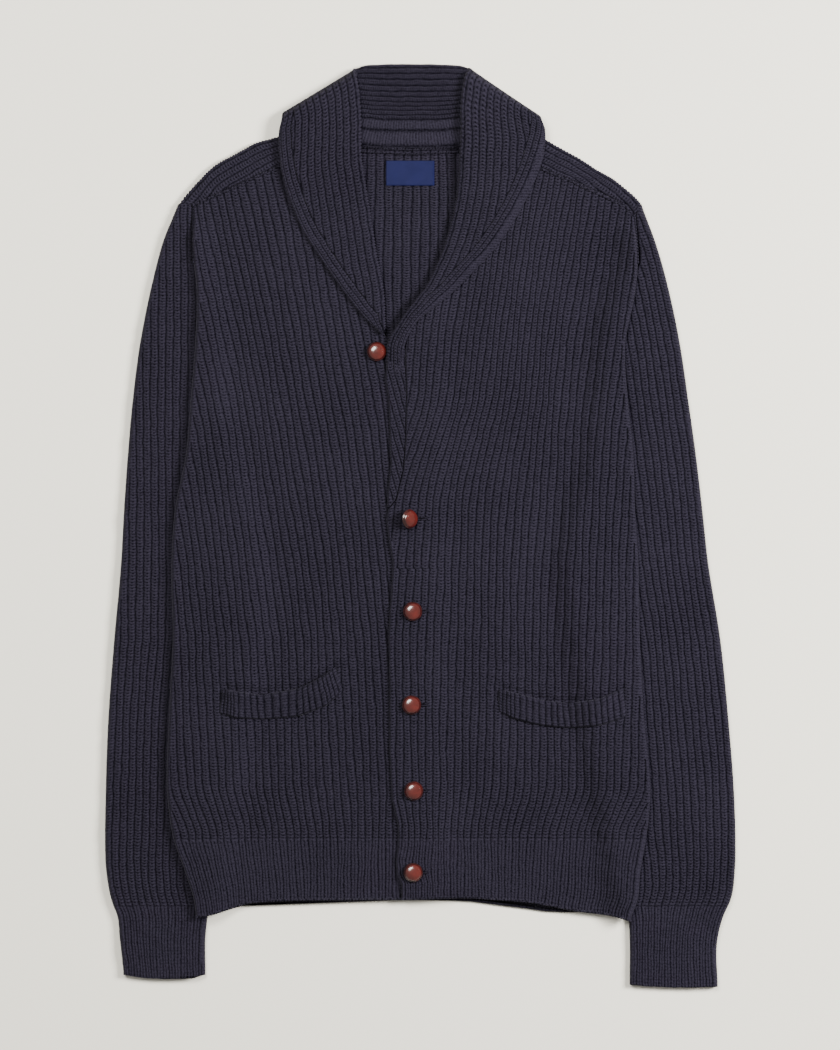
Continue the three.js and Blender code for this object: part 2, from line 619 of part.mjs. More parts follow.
function makeCollar() {
  const lying = (part, behind) => part.map((station) => ({ ...station, sideways: new THREE.Vector2(...behind) }));
  const stations = [
    ...lying(COLLAR_RIGHT_HALF, FALL_BEHIND.right),
    ...lying([COLLAR_BACK], FALL_BEHIND.back),
    ...lying(COLLAR_LEFT_HALF, FALL_BEHIND.left).reverse(),
  ];
  return foldedBand(stations, COLLAR_BAND);
}

// The saddle: the sleeve's end that runs on over the shoulder to the neck, folded along the top.
function makeSaddle(side) {
  const { fold, seam } = SHOULDERS[side];
  const stations = fold.map((roll, i) => ({ free: seam[i], roll, seam: seam[i], mid: SADDLE_MID, turn: 0 }));
  return foldedBand(stations, SADDLE_BAND);
}

function makeWelt(side) {
  const { bottom, top } = POCKETS[side];
  const columns = ribColumns(0, WELT_RIBS);
  const shares = [0, WELT_EDGE.share, 1 - WELT_EDGE.share, 1];
  const level = (x, y) => FRONT_UNDER + lift(x, y) + WALL + RIB_HEIGHT + LAYER_GAP;
  const place = (share, rib) => mixPoint(
    pointAlong(bottom, rib / WELT_RIBS),
    pointAlong(top, rib / WELT_RIBS),
    share,
  );
  const outer = shares.map((share) => columns.map(({ rib, rise }) => {
    const [x, y] = place(share, rib);
    const drop = share === 0 || share === 1 ? WELT_EDGE.drop : 0;
    return [x, y, level(x, y) + WELT_WALL + rise - drop];
  }));
  const inner = shares.map((share) => columns.filter((c, i) => i % 4 === 0).map(({ rib }) => {
    const [x, y] = place(share, rib);
    return [x, y, level(x, y)];
  }));
  return closedSheet(outer, inner);
}

function turnedSolid(profile) {
  const turned = new THREE.LatheGeometry(profile.map((point) => new THREE.Vector2(...point)), BUTTON.sides);
  turned.rotateX(Math.PI / 2);
  return solidFrom(turned);
}

function makeButton({ x, y, fastened, tilt }) {
  const foot = UNDERLAP_TOP + (fastened ? 0.3 : RIB_HEIGHT + 0.1);
  const seat = fastened ? FRONT_UNDER + OVERLAP_RISE + WALL + RIB_HEIGHT + 0.4 : foot + 0.8;
  const { radius, height, rim, shank, hollow, lip, steps } = BUTTON;
  const profile = [[0, 0], [radius - hollow, 0], [radius, rim / 2], [radius - lip, rim]];
  for (let step = 1; step < steps; step += 1) {
    const angle = (step / steps) * Math.PI / 2;
    profile.push([(radius - lip) * Math.cos(angle), rim + (height - rim) * Math.sin(angle)]);
  }
  profile.push([0, height]);
  const raised = seat + (radius - hollow) * Math.sin(THREE.MathUtils.degToRad(tilt));
  const head = turnedSolid(profile).rotate([0, tilt, 0]).translate([0, 0, raised]);
  const post = turnedSolid([[0, foot], [shank, foot], [shank, raised + rim / 2], [0, raised + rim / 2]]);
  return head.add(post).translate([x, y, 0]);
}

function makeLabel() {
  const [left, right] = LABEL.x;
  const [low, high] = LABEL.y;
  const bottom = BACK_TOP + 0.1 + RIB_HEIGHT + 0.3;
  return prism([[left, low], [right, low], [right, high], [left, high]], bottom, bottom + LABEL.thickness);
}

const cardigan = new THREE.Group();

function addPiece(name, body, material) {
  const { vertProperties, triVerts, numProp } = body.getMesh();
  const positions = [];
  for (let i = 0; i < vertProperties.length; i += numProp) {
    positions.push(vertProperties[i], vertProperties[i + 1], vertProperties[i + 2]);
  }
  const geometry = new THREE.BufferGeometry();
  geometry.setAttribute('position', new THREE.Float32BufferAttribute(positions, 3));
  geometry.setIndex(Array.from(triVerts));
  geometry.computeVertexNormals();
  const mesh = new THREE.Mesh(geometry, material);
  mesh.name = name;
  cardigan.add(mesh);
}

addPiece('back', makeBack(), NAVY);
addPiece('front_right', makeFrontRight(), NAVY);
addPiece('front_left', makeFrontLeft(), NAVY);
for (const side of ['right', 'left']) {
  addPiece(`sleeve_${side}`, makeSleeve(side), NAVY);
  addPiece(`saddle_${side}`, makeSaddle(side), NAVY);
  addPiece(`pocket_welt_${side}`, makeWelt(side), NAVY);
}
addPiece('collar', makeCollar(), NAVY);
addPiece('collar_tongue', makeCollarTongue(), NAVY);
addPiece('neck_label', makeLabel(), LABEL_BLUE);
BUTTONS.forEach((button, i) => addPiece(`button_${i + 1}`, makeButton(button), LEATHER));

export default cardigan;
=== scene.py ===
"""Finish of the shawl collar cardigan, laid flat on its back: ribbed knit walls, domed leather
buttons, a woven label, a pale floor, soft studio light and a camera straight above.

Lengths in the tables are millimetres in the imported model's frame: +Y runs to the collar, +Z is up,
and the wearer's right side is at -X."""
import math

import bmesh
import bpy
import numpy as np
from mathutils import Matrix, Vector


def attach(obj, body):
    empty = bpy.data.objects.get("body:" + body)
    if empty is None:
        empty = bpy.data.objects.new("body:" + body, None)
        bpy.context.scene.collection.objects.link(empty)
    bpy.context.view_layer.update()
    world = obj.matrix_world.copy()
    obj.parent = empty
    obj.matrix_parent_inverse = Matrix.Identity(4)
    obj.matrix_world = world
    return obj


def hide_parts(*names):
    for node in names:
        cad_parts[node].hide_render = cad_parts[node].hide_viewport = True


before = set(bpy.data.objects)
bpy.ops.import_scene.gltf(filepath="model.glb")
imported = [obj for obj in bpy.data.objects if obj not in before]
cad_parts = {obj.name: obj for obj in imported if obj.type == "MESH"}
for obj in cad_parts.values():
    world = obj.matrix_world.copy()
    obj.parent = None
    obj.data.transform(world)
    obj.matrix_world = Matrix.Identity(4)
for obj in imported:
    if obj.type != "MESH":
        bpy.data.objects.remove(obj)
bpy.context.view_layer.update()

MM = 0.001

# Knit and layer sizes.
WALL = 2.4
RIB_HEIGHT = 1.2
STITCH_HEIGHT = 0.8
BODY_RIB = 7.0
SLEEVE_RIB = 6.8
BACK_RIB = 8.2
HEM_RIB = 6.5
CUFF_RIB = 6.25
TONGUE_RIB = 5.5
STITCH = {"body": 2.75, "hem": 3.2, "cuff": 3.0, "back": 2.4, "collar": 2.75}
STITCH_SLANT = 0.4
FINE_RIBS = {"crest": 0.38, "groove": 0.93, "beat": 0.3, "relief": 0.75}
BEAT = 0.5
RIB_SHARES = (0, 0.27, 0.5, 0.73)
SEAM = 0.4
RAMP = 26
SIDE_ROUND = 2.7
EDGE_ROUND = WALL / 2
RIM_STEPS = 4

# Heights of the stacked layers.
SLEEVE_TOP = 5.8
SLEEVE_VOID = {"low": 2.5, "high": 3.3, "inset": 4}
LIFT = 7.3
BACK_TOP = 2.7
FRONT_UNDER = 3.1
OVERLAP_RISE = 3.0
OVERLAP_END = 9
WELT_LEVEL = 4.3
WELT_WALL = 2.2
HEM_TOP = -289
HEM_MIDDLE = -20
HEM_GATHER = -238
CUFF_TOP = -350
CUFF_GATHER = -270

# Height, sleeve's outer fold, its hidden inner fold, body's side fold, and the body's climb onto
# the sleeve from 0 to 1.
SIDE_COLUMNS = ("y", "outer", "inner", "body", "climb")
WEARER_RIGHT = (
    (-414, -273.5, -198, -206, 1),
    (-381, -277, -198, -206, 1),
    (-361, -279, -196, -206, 1),
    (-345, -284.5, -194, -208, 1),
    (-317, -289.5, -190, -216.5, 1),
    (-289, -290.5, -185, -226.5, 1),
    (-253, -290, -180, -232, 1),
    (-179, -287.5, -169, -231, 1),
    (-105, -282, -159, -227.5, 1),
    (-32, -275.5, -157, -228.5, 1),
    (14, -273, -166, -225.5, 1),
    (65, -269.5, -182, -215.5, 1),
    (115, -265, -191, -211, 1),
    (166, -258.5, -195, -207, 1),
    (217, -248.5, -197, -205.5, 1),
    (242, -242.5, -208.5, -208, 1),
    (263, -236.5, -210, -209.5, 1),
    (283, -228.5, -209.5, -209, 0.2),
    (294, -224, -209.2, -208.7, 0),
    (362, -224, -209.5, -208, 0),
)
WEARER_LEFT = (
    (-424, 274, 193, 193, 1),
    (-381, 274, 193, 193, 1),
    (-361, 279, 192, 194, 1),
    (-345, 286, 189, 199.5, 1),
    (-317, 290, 185, 202.5, 1),
    (-289, 290.5, 181, 207.5, 1),
    (-253, 289.5, 174, 211.5, 1),
    (-179, 284, 162, 206, 1),
    (-105, 276.5, 149, 202, 1),
    (-32, 265, 142, 200.5, 1),
    (14, 260, 151, 197.5, 1),
    (65, 254, 165, 196, 1),
    (115, 247, 172, 191, 1),
    (166, 239.5, 176, 188.5, 1),
    (217, 229, 188, 198, 1),
    (242, 222.5, 200.5, 200, 1),
    (263, 216, 199.5, 199, 1),
    (283, 208.5, 198, 197.5, 0.2),
    (294, 204.5, 197.5, 197, 0),
    (362, 204, 197.5, 196, 0),
)
SIDES = {"right": np.array(WEARER_RIGHT, float), "left": np.array(WEARER_LEFT, float)}

# Points across each cuff's bottom edge, each hem, and each shoulder's seam and fold.
CUFF_ENDS = {
    "right": ((-273.5, -413.5), (-258, -416), (-227, -417.5), (-207, -416), (-198, -413)),
    "left": ((193, -423), (221, -425), (239, -425.5), (257, -425.2), (274, -425)),
}
HEMS = {
    "right": (
        (-206, -360), (-192, -357.5), (-178, -353.5), (-164, -349), (-150, -346.5), (-130, -345.5),
        (-111, -345), (-60, -344.5), (-17, -344),
    ),
    "left": (
        (-17, -344), (18, -343), (46, -342.8), (73, -344.6), (101, -346.8), (119, -350), (138, -353.7),
        (150, -355.5), (165, -357.3), (180, -359.5), (193.5, -363.5),
    ),
}
HEM_CORNERS = {"right": -360, "left": -363.5}
BACK_HEM = (
    (-203, -358), (-185, -356), (-166, -351), (-152, -348.3), (-132, -348), (-60, -346), (-17, -345.5),
    (18, -345.5), (46, -346.4), (73, -350), (101, -353.4), (119, -356), (150, -356.4),
    (171, -358.3), (190, -361),
)
SHOULDERS = {
    "right": {
        "fold": ((-223, 296), (-206, 316), (-192, 330), (-170, 343), (-153, 352), (-130, 359)),
        "seam": ((-209, 295), (-195, 301), (-178, 308), (-153, 320), (-132, 330), (-111, 339)),
    },
    "left": {
        "fold": ((204, 296), (200, 301), (183, 316), (165, 327), (139, 343), (115, 356)),
        "seam": ((196.5, 285), (191, 292), (175, 300), (139, 317), (114, 327), (95, 337)),
    },
}

# The turned-in edge inside each armhole: height, how far in it lies, and its lowest and highest rows.
ARMHOLE_TURNING = (
    (292, 0.3, 1.5, 4.4),
    (283, 0.3, 1.5, 5.2),
    (272, 0.6, 1.5, 7),
    (262, 1.0, 1.5, 9),
    (250, 1.4, 1.5, 9.6),
    (230, 1.8, 1.5, 9.6),
    (165, 2.2, 1.5, 9.6),
)

# How far each front's ribs have leant outwards by a height, counted from the hem.
RIB_LEAN = {
    "right": ((-253, 0), (-105, 7), (-32, 16), (88, 35), (180, 53), (272, 72), (362, 91)),
    "left": ((-253, 0), (-105, 2), (-32, 4), (88, 12), (180, 22), (272, 36), (362, 52)),
}
FRONT_RIB_START = -31.4
EDGE_PULL_END = 25
MITRE_SWING = {"size": 20, "low": 15, "high": 125, "ribs": 20}
UPRIGHT_RIBS = {"above": -105, "start": -282}
RIB_WANDER = ((0.8, 41.0, 0.35), (0.4, 13.7, 1.7))

# The wearer's left front edge, and the mitre where the collar's end meets that front.
FRONT_EDGE = (
    (-17, -345), (-21, -334), (-22, -316), (-20, -297), (-20, -277), (-26, -252), (-28, -207),
    (-28, -150), (-29, -100), (-27, -68), (-25, -35), (-29, -10), (-31, 5), (-30, 27), (-27, 58),
    (-28, 89), (-29, 119), (-32, 134), (-30.5, 152), (-30.5, 170),
)
MITRE = ((-29.5, 16), (-23, 23), (-16, 51), (-14, 79), (-13, 119), (-14, 148), (-14, 166))

# One row for each station along the collar: its free edge, its roll line and its neck seam, the
# height of the middle of the fold, which way the fall lies from the stand, and the width of the
# plain rolled strip along the free edge.
COLLAR_COLUMNS = (
    "free_x", "free_y", "roll_x", "roll_y", "seam_x", "seam_y", "mid", "turn", "side_x", "side_y", "strip",
)
COLLAR = (
    (-36, 176, -32, 182, -33.5, 178, 7.4, 0, -0.52, 0.85, 1),
    (-51, 191, -32, 196, -39, 191, 7.4, 0, -0.52, 0.85, 1),
    (-68, 212, -34, 221, -50, 214, 7.4, 0, -0.52, 0.85, 1),
    (-85, 236, -39, 246, -65, 237, 7.4, 0, -0.52, 0.85, 1),
    (-99, 257, -43, 272, -78, 259, 7.4, 0, -0.52, 0.85, 1),
    (-110, 276, -47, 297, -89, 281, 7.4, 0, -0.52, 0.85, 1),
    (-119, 298, -51, 322, -98, 301, 8.2, 0, -0.52, 0.85, 1),
    (-126, 320, -54, 345, -104, 321, 9.6, 0, -0.52, 0.85, 1),
    (-129, 338, -54, 368, -108, 337, 10, 0, -0.52, 0.85, 1),
    (-130, 352, -55, 388, -110, 350, 10, 0, -0.52, 0.85, 1),
    (-129.5, 364, -57, 405, -111, 358, 10, 0, -0.52, 0.85, 1),
    (-127, 373, -58.5, 413.5, -111, 362, 9.6, 0.15, -0.52, 0.85, 1),
    (-125, 378, -58.5, 418.5, -110, 365, 6.4, 0.5, -0.52, 0.85, 1),
    (-119.5, 377, -56.5, 421.5, -106, 366, 3.3, 0.85, -0.52, 0.85, 1),
    (-108, 369, -51, 423.7, -92, 359, 2.8, 1, -0.52, 0.85, 1),
    (-70, 359, -34, 425, -56, 350, 2.8, 1, -0.52, 0.85, 1),
    (-8, 356, -8, 425.5, -8, 347.5, 2.8, 1, 0, 1, 1),
    (52, 359, 18, 425, 40, 350, 2.8, 1, 0.57, 0.82, 1),
    (92, 367, 38, 423.5, 76, 359, 2.8, 1, 0.57, 0.82, 1),
    (103, 373.5, 42, 421.8, 89, 366, 3.3, 0.85, 0.57, 0.82, 1),
    (108.5, 375, 44, 419, 93, 365, 6.4, 0.5, 0.57, 0.82, 1),
    (111.5, 371.5, 41, 414, 95, 363, 9.6, 0.15, 0.57, 0.82, 1.5),
    (114, 367, 39, 404, 95, 361, 10, 0, 0.57, 0.82, 2),
    (115, 361, 37, 386, 96, 357, 10, 0, 0.57, 0.82, 3),
    (115, 352, 37, 364, 95, 349, 10, 0, 0.57, 0.82, 5),
    (113, 338, 36, 340, 93, 336, 10, 0, 0.57, 0.82, 7.5),
    (106, 318, 35, 318, 86, 319, 8.6, 0, 0.57, 0.82, 8),
    (96, 297, 32, 297, 76, 299, 7.6, 0, 0.57, 0.82, 8),
    (84, 276, 28, 278, 64, 280, 7.4, 0, 0.57, 0.82, 8),
    (70, 256, 22, 258, 51, 261, 7.4, 0, 0.57, 0.82, 8),
    (53, 238, 14, 238, 37, 242, 7.6, 0, 0.57, 0.82, 8),
    (36, 220, 5, 220, 22, 225, 8.6, 0, 0.57, 0.82, 7),
    (15, 202, -7, 205, 5, 206, 9.6, 0, 0.57, 0.82, 5),
    (-4, 186, -20, 186, -10, 188, 9.6, 0, 0.57, 0.82, 3),
    (-15, 162, -30, 168, -21, 166, 9.2, 0, 0.57, 0.82, 2),
    (-15, 149, -31.5, 153, -22, 151, 7.0, 0, 0.57, 0.82, 2),
    (-15, 136, -31, 139, -22, 138, 4.6, 0, 0.57, 0.82, 2),
)
FOLD_HALF = 1.6
FOLD_INSET = 3.8
FOLD_STEPS = 8
STRIP_DROP = 2.6

# Distances of the stand's rib valleys from the neck seam, ending at the roll line.
STAND_VALLEYS = (0, 15.5, 25.5, 29.5, 34, 38, 42, 46.5, 51.5, 57, 63, 68.5, 74)
FALL_RIBS = 11
FALL_RIB = 7.0
EDGE_RIB = 5.2

# Pocket welts: the curve of the bottom and top edges, from the side towards the front edge.
POCKETS = {
    "right": {
        "bottom": ((-184, -173), (-170, -177), (-144, -179), (-112, -176), (-86, -166), (-71, -152)),
        "top": ((-182, -150), (-170, -152), (-146, -155.5), (-112, -150), (-92, -140), (-78, -130)),
    },
    "left": {
        "bottom": ((72, -172), (88, -179), (114, -185), (140, -187), (165, -184), (190, -176)),
        "top": ((72, -150), (88, -154), (114, -161), (137, -163), (163, -159.5), (187, -149)),
    },
}
WELT_RIBS = 22
WELT_STAND = 2.6
WELT_SINK = 2.2
WELT_LEAN = 0.8
POCKET_DIP = 2.0

# Six domed leather buttons: the first lies open on the wearer's right front, and the second is
# pulled over by its shank.
BUTTON = {"radius": 8.9, "height": 6.4, "rim": 2.2, "shank": 1.4, "hollow": 1.2, "lip": 0.6}
BUTTONS = (
    (-40.2, 160, False, 0),
    (-10.5, 6, True, 40),
    (-7, -79, True, 0),
    (-8, -165, True, 0),
    (-6, -244, True, 0),
    (-6.5, -319, True, 0),
)
BUTTON_FOOT = {True: 6.0, False: 6.8}
BUTTON_SEAT = {True: 9.9, False: 7.6}
BUTTONHOLE_END = 6.5
BUTTONHOLE_DEPTH = 1.9
LABEL = {"x": (-31.5, 13), "y": (313, 336), "low": 4.7, "high": 5.3}

# Colours. KNIT_DARK is the painted shade of the rib valleys, stitch gaps and stitch holes, and the dark end of
# the yarn's melange.
KNIT_DARK = (0.001, 0.0008, 0.0026, 1)
KNIT_LIGHT = (0.0184, 0.0162, 0.0268, 1)
# LEATHER_DARK is the painted shade towards each button's rim and the dark end of the leather's grain and cloud.
LEATHER_DARK = (0.014, 0.0012, 0.0008, 1)
LEATHER_LIGHT = (0.1, 0.011, 0.0075, 1)
LABEL_DARK = (0.0045, 0.006, 0.03, 1)
LABEL_LIGHT = (0.0092, 0.0106, 0.05, 1)

# Flat areas in square metres of the sheets that aren't worked out from rows.
SADDLE_AREA = 0.0055
COLLAR_AREA = 0.085

# Rows of stitches along the seams and edges: spacing, size of a stitch and its slant.
SHOULDER_STITCH = (2.6, (3.7, 2.4, 1.6), 0.25)
ARMHOLE_STITCH = (2.6, (3.6, 1.5, 1.3), 0.0)
TURNING_STITCH = (2.2, (3.6, 2.4, 2.7), 0.0)
HEM_STITCH = (2.7, (3.5, 2.4, 2.4), 0.15)
NECK_STITCH = (2.5, (3.0, 1.2, 1.2), 0.5)
BUTTONHOLE_STITCH = (0.9, (1.9, 0.85, 0.8), 1.45)
ARMHOLE_SEAM = ((294, 6.0), (283, 6.6), (270, 9.0), (256, 10.5), (242, 11))
NECK_LINE = ((-104, 364), (-92, 359), (-56, 350), (-8, 347.5), (40, 350), (76, 359))
JITTER = 0.16

# Camera, floor and light: each lamp's power, size, place and whether its glint shows.
CAMERA = {"x": -0.00023, "y": 0.00046, "distance": 3.0, "long_side": 0.966}
FLOOR = {"reach": 3.0, "level": -0.0003}
LAMPS = {
    "key": (180, (0.8, 0.8), (1.95, 0.5, 1.6), False),
    "overhead": (95, (1.5, 1.0), (-0.95, 1.15, 2.3), True),
}
LAMP_COLOUR = (1, 0.975, 0.93)
ROOM_COLOUR = (1, 0.98, 0.94, 1)
ROOM_STRENGTH = 0.33


def smooth(t):
    t = np.clip(t, 0, 1)
    return t * t * (3 - 2 * t)


def straight(rows, at, places=0, values=1):
    """Value of one column of a table at a place in another, on straight lines between the rows."""
    table = np.array(sorted(rows, key=lambda row: row[places]), float)
    return np.interp(at, table[:, places], table[:, values])


def eased(places, values, at):
    """Values between the rows of a table, on a smooth curve through them."""
    slopes = np.gradient(values, places)
    i = np.clip(np.searchsorted(places, at, side="right") - 1, 0, len(places) - 2)
    width = places[i + 1] - places[i]
    t = np.clip((at - places[i]) / width, 0, 1)
    start = values[i] * (1 + 2 * t) * (1 - t) ** 2 + slopes[i] * width * t * (1 - t) ** 2
    end = values[i + 1] * t * t * (3 - 2 * t) - slopes[i + 1] * width * t * t * (1 - t)
    return start + end


def curved(rows, at):
    """Height of the curve through a table's points at a place across."""
    table = np.array(rows, float)
    return eased(table[:, 0], table[:, 1], np.asarray(at, float))


def gathered(y, start, end, wide, narrow):
    """Width of a rib at a height, where the cloth draws in above a hem or a cuff."""
    return wide + (narrow - wide) * smooth((start - y) / (start - end))


def side_value(side, name, y):
    rows = SIDES[side]
    column = SIDE_COLUMNS.index(name)
    if name == "climb":
        return np.interp(y, rows[:, 0], rows[:, column])
    return eased(rows[:, 0], rows[:, column], np.asarray(y, float))


def lift(x, y):
    """How high the sleeve under the body's side lifts the body at a point."""
    heights = []
    for side, sign in (("right", -1), ("left", 1)):
        inner = sign * side_value(side, "inner", y)
        heights.append(LIFT * side_value(side, "climb", y) * smooth((sign * x - inner + RAMP) / RAMP))
    return np.where(x < 0, *heights)


def overlap_rise(x):
    return OVERLAP_RISE * smooth((OVERLAP_END + RAMP - x) / RAMP)


def wander(rib, y):
    """How far a rib strays sideways from its line at a height."""
    return sum(size * np.sin(y / length + step * rib) for size, length, step in RIB_WANDER)


class Value:
    """A number in a node tree. Sums written with it add the nodes that work them out."""

    def __init__(self, recipe, socket):
        self.recipe = recipe
        self.socket = socket

    def __add__(self, other):
        return self.recipe.maths("ADD", self, other)

    def __sub__(self, other):
        return self.recipe.maths("SUBTRACT", self, other)

    def __mul__(self, other):
        return self.recipe.maths("MULTIPLY", self, other)

    def __truediv__(self, other):
        return self.recipe.maths("DIVIDE", self, other)

    def __pow__(self, other):
        return self.recipe.maths("POWER", self, other)

    def __rsub__(self, other):
        return self.recipe.maths("SUBTRACT", other, self)

    def __rtruediv__(self, other):
        return self.recipe.maths("DIVIDE", other, self)

    __radd__ = __add__
    __rmul__ = __mul__


class Recipe:
    """A node tree that is being written."""

    def __init__(self, tree):
        self.tree = tree

    def add(self, kind, settings=None, sockets=None):
        """A node of a type, its settings first and then the values or links of its sockets."""
        node = self.tree.nodes.new(kind)
        for name, value in (settings or {}).items():
            setattr(node, name, value)
        for name, value in (sockets or {}).items():
            self.feed(node.inputs[name], value)
        return node

    def feed(self, socket, value):
        if isinstance(value, Value):
            value = value.socket
        if isinstance(value, bpy.types.NodeSocket):
            self.tree.links.new(value, socket)
        else:
            socket.default_value = value

    def maths(self, operation, *terms, clamp=False):
        node = self.add("ShaderNodeMath", {"operation": operation, "use_clamp": clamp}, dict(enumerate(terms)))
        return Value(self, node.outputs[0])

    def parts(self, vector):
        """The three numbers of a vector."""
        node = self.add("ShaderNodeSeparateXYZ", sockets={0: vector})
        return [Value(self, socket) for socket in node.outputs]

    def join(self, x, y, z):
        return self.add("ShaderNodeCombineXYZ", sockets={0: x, 1: y, 2: z}).outputs[0]

    def scaled(self, vector, amount):
        node = self.add("ShaderNodeVectorMath", {"operation": "SCALE"}, {0: vector, "Scale": amount})
        return node.outputs[0]

    def summed(self, first, second):
        return self.add("ShaderNodeVectorMath", {"operation": "ADD"}, {0: first, 1: second}).outputs[0]

    def noise(self, vector, scale, detail=2.0, roughness=0.5):
        sockets = {"Vector": vector, "Scale": scale, "Detail": detail, "Roughness": roughness}
        return self.add("ShaderNodeTexNoise", sockets=sockets)

    def level(self, vector, scale, detail=2.0, roughness=0.5):
        """One number of noise, about 0.5."""
        return Value(self, self.noise(vector, scale, detail, roughness).outputs[0])

    def blend(self, share, first, second):
        """A colour between two colours."""
        node = self.add("ShaderNodeMix", {"data_type": "RGBA"})
        self.feed(node.inputs["Factor"], share)
        colours = [socket for socket in node.inputs if socket.type == "RGBA"]
        self.feed(colours[0], first)
        self.feed(colours[1], second)
        return next(socket for socket in node.outputs if socket.type == "RGBA")


def stitch_pattern(recipe, off, course):
    """How much of a rib, a stitch's bar and the hole at its middle there is at a point.
    off is 1 in the valley between ribs and 0 on a rib's middle, and each course is one stitch."""
    # These marks set the knit's relief, and in the knit material also its painted shade: darker in the valleys,
    # between the bars and in the holes.
    rib = 1 - off ** 4.0
    wave = recipe.maths("COSINE", course * (2 * math.pi))
    bar = wave * 0.5 + 0.5
    middle = recipe.maths("MULTIPLY", 0.36 - off, 5.0, clamp=True)
    hole = middle * (1 - bar) ** 1.3
    leg = recipe.maths("MULTIPLY", 1 - off, 3.0, clamp=True)
    return rib, bar * leg, hole


def open_tree(name, inputs):
    """A new geometry node tree: the tree, its recipe and the sockets of its named inputs."""
    tree = bpy.data.node_groups.new(name, "GeometryNodeTree")
    for label, kind in (("Geometry", "Geometry"), *inputs, ("Yarn", "Material")):
        tree.interface.new_socket(label, in_out="INPUT", socket_type=f"NodeSocket{kind}")
    tree.interface.new_socket("Geometry", in_out="OUTPUT", socket_type="NodeSocketGeometry")
    recipe = Recipe(tree)
    return tree, recipe, recipe.add("NodeGroupInput").outputs


def close_tree(recipe, shapes, yarn):
    """Ends a tree: its shapes are made real and get their yarn."""
    real = recipe.add("GeometryNodeRealizeInstances", sockets={0: shapes})
    dyed = recipe.add("GeometryNodeSetMaterial", sockets={"Geometry": real.outputs[0]})
    recipe.feed(dyed.inputs["Material"], yarn)
    recipe.add("NodeGroupOutput", sockets={0: dyed.outputs[0]})


def relief_tree():
    """Raises ribs and stitches on a knit wall, with a slight unevenness from stitch to stitch."""
    heights = [(name, "Float") for name in ("Rib height", "Stitch height", "Unevenness", "Ripple")]
    tree, recipe, given = open_tree("knit_relief", heights)
    named = {}
    for name in ("knit", "outward"):
        node = recipe.add("GeometryNodeInputNamedAttribute", {"data_type": "FLOAT_VECTOR"}, {"Name": name})
        named[name] = next(socket for socket in node.outputs if socket.type == "VECTOR")
    off, course, share = recipe.parts(named["knit"])
    rib, bar, hole = stitch_pattern(recipe, off, course)
    place = recipe.add("GeometryNodeInputPosition").outputs[0]
    height = rib * Value(recipe, given["Rib height"])
    height = height + (bar - hole * 0.9) * Value(recipe, given["Stitch height"])
    height = height + (recipe.level(place, 420.0, 1.0) - 0.5) * Value(recipe, given["Unevenness"]) * 2.0
    height = height + (recipe.level(place, 17.0, 2.0) - 0.45) * Value(recipe, given["Ripple"]) * 2.0
    raised = recipe.scaled(named["outward"], height * share)
    sway = recipe.noise(place, 95.0, 2.0).outputs["Color"]
    middle = (0.5, 0.5, 0.5)
    centred = recipe.add("ShaderNodeVectorMath", {"operation": "SUBTRACT"}, {0: sway, 1: middle})
    sway = recipe.scaled(centred.outputs[0], share * Value(recipe, given["Unevenness"]) * 9.0)
    x, y, z = recipe.parts(recipe.summed(place, recipe.summed(raised, sway)))
    laid = recipe.join(x, y, recipe.maths("MAXIMUM", z, 0.0))
    moved = recipe.add("GeometryNodeSetPosition", sockets={"Position": laid})
    recipe.feed(moved.inputs["Geometry"], given["Geometry"])
    close_tree(recipe, moved.outputs[0], given["Yarn"])
    return tree


def material(name):
    made = bpy.data.materials.new(name)
    made.use_nodes = True
    made.node_tree.nodes.clear()
    recipe = Recipe(made.node_tree)
    shader = recipe.add("ShaderNodeBsdfPrincipled")
    recipe.add("ShaderNodeOutputMaterial", sockets={"Surface": shader.outputs[0]})
    return made, recipe, shader


def knit_material():
    """Charcoal navy wool, with painted shade in the valleys between ribs, between the stitch bars and in the
    stitch holes, so the bars on each rib read pale, and a soft fuzz.
    """
    made, recipe, shader = material("navy_knit")
    mark = recipe.add("ShaderNodeAttribute", {"attribute_name": "knit"}).outputs["Vector"]
    place = recipe.add("ShaderNodeTexCoord").outputs["Object"]
    off, course, share = recipe.parts(mark)
    x, y, z = recipe.parts(place)
    plain_rib = recipe.maths("ABSOLUTE", recipe.maths("FRACT", x / (BODY_RIB * MM)) * 2.0 - 1.0)
    plain = recipe.maths("LESS_THAN", share, 0.02)
    off = off + (plain_rib - off) * plain
    course = course + (y / (STITCH["body"] * MM) - course) * plain
    rib, bar, hole = stitch_pattern(recipe, off, course)
    fibre = recipe.level(place, 2600.0, 3.0, 0.7)
    mottle = recipe.level(place, 640.0, 3.0, 0.7)
    cloud = recipe.level(place, 14.0, 2.0, 0.5)
    # Painted shade: the colour darkens in the rib valleys, between the stitch bars and in the stitch holes;
    # mottle, fibre and cloud are the yarn's own melange.
    tone = (0.06 + rib * 0.94) * (0.54 + bar * 0.46) * (1 - hole * 0.8)
    tone = tone + (mottle - 0.5) * 2.3 + (fibre - 0.5) * 0.6
    tone = recipe.maths("ADD", tone, (cloud - 0.5) * 0.35, clamp=True)
    colour = recipe.blend(tone, KNIT_DARK, KNIT_LIGHT)
    recipe.feed(shader.inputs["Base Color"], colour)
    recipe.feed(shader.inputs["Roughness"], 0.92)
    recipe.feed(shader.inputs["Sheen Weight"], 0.08)
    recipe.feed(shader.inputs["Sheen Roughness"], 0.4)
    recipe.feed(shader.inputs["Sheen Tint"], (0.6, 0.58, 0.72, 1))
    recipe.feed(shader.inputs["Specular IOR Level"], 0.12)
    height = rib * 0.5 + bar * 0.45 - hole * 0.5 + (fibre - 0.5) * 0.5 + (mottle - 0.5) * 0.4
    bump = recipe.add("ShaderNodeBump", sockets={"Strength": 0.6, "Distance": 0.0006, "Height": height})
    recipe.feed(shader.inputs["Normal"], bump.outputs[0])
    return made


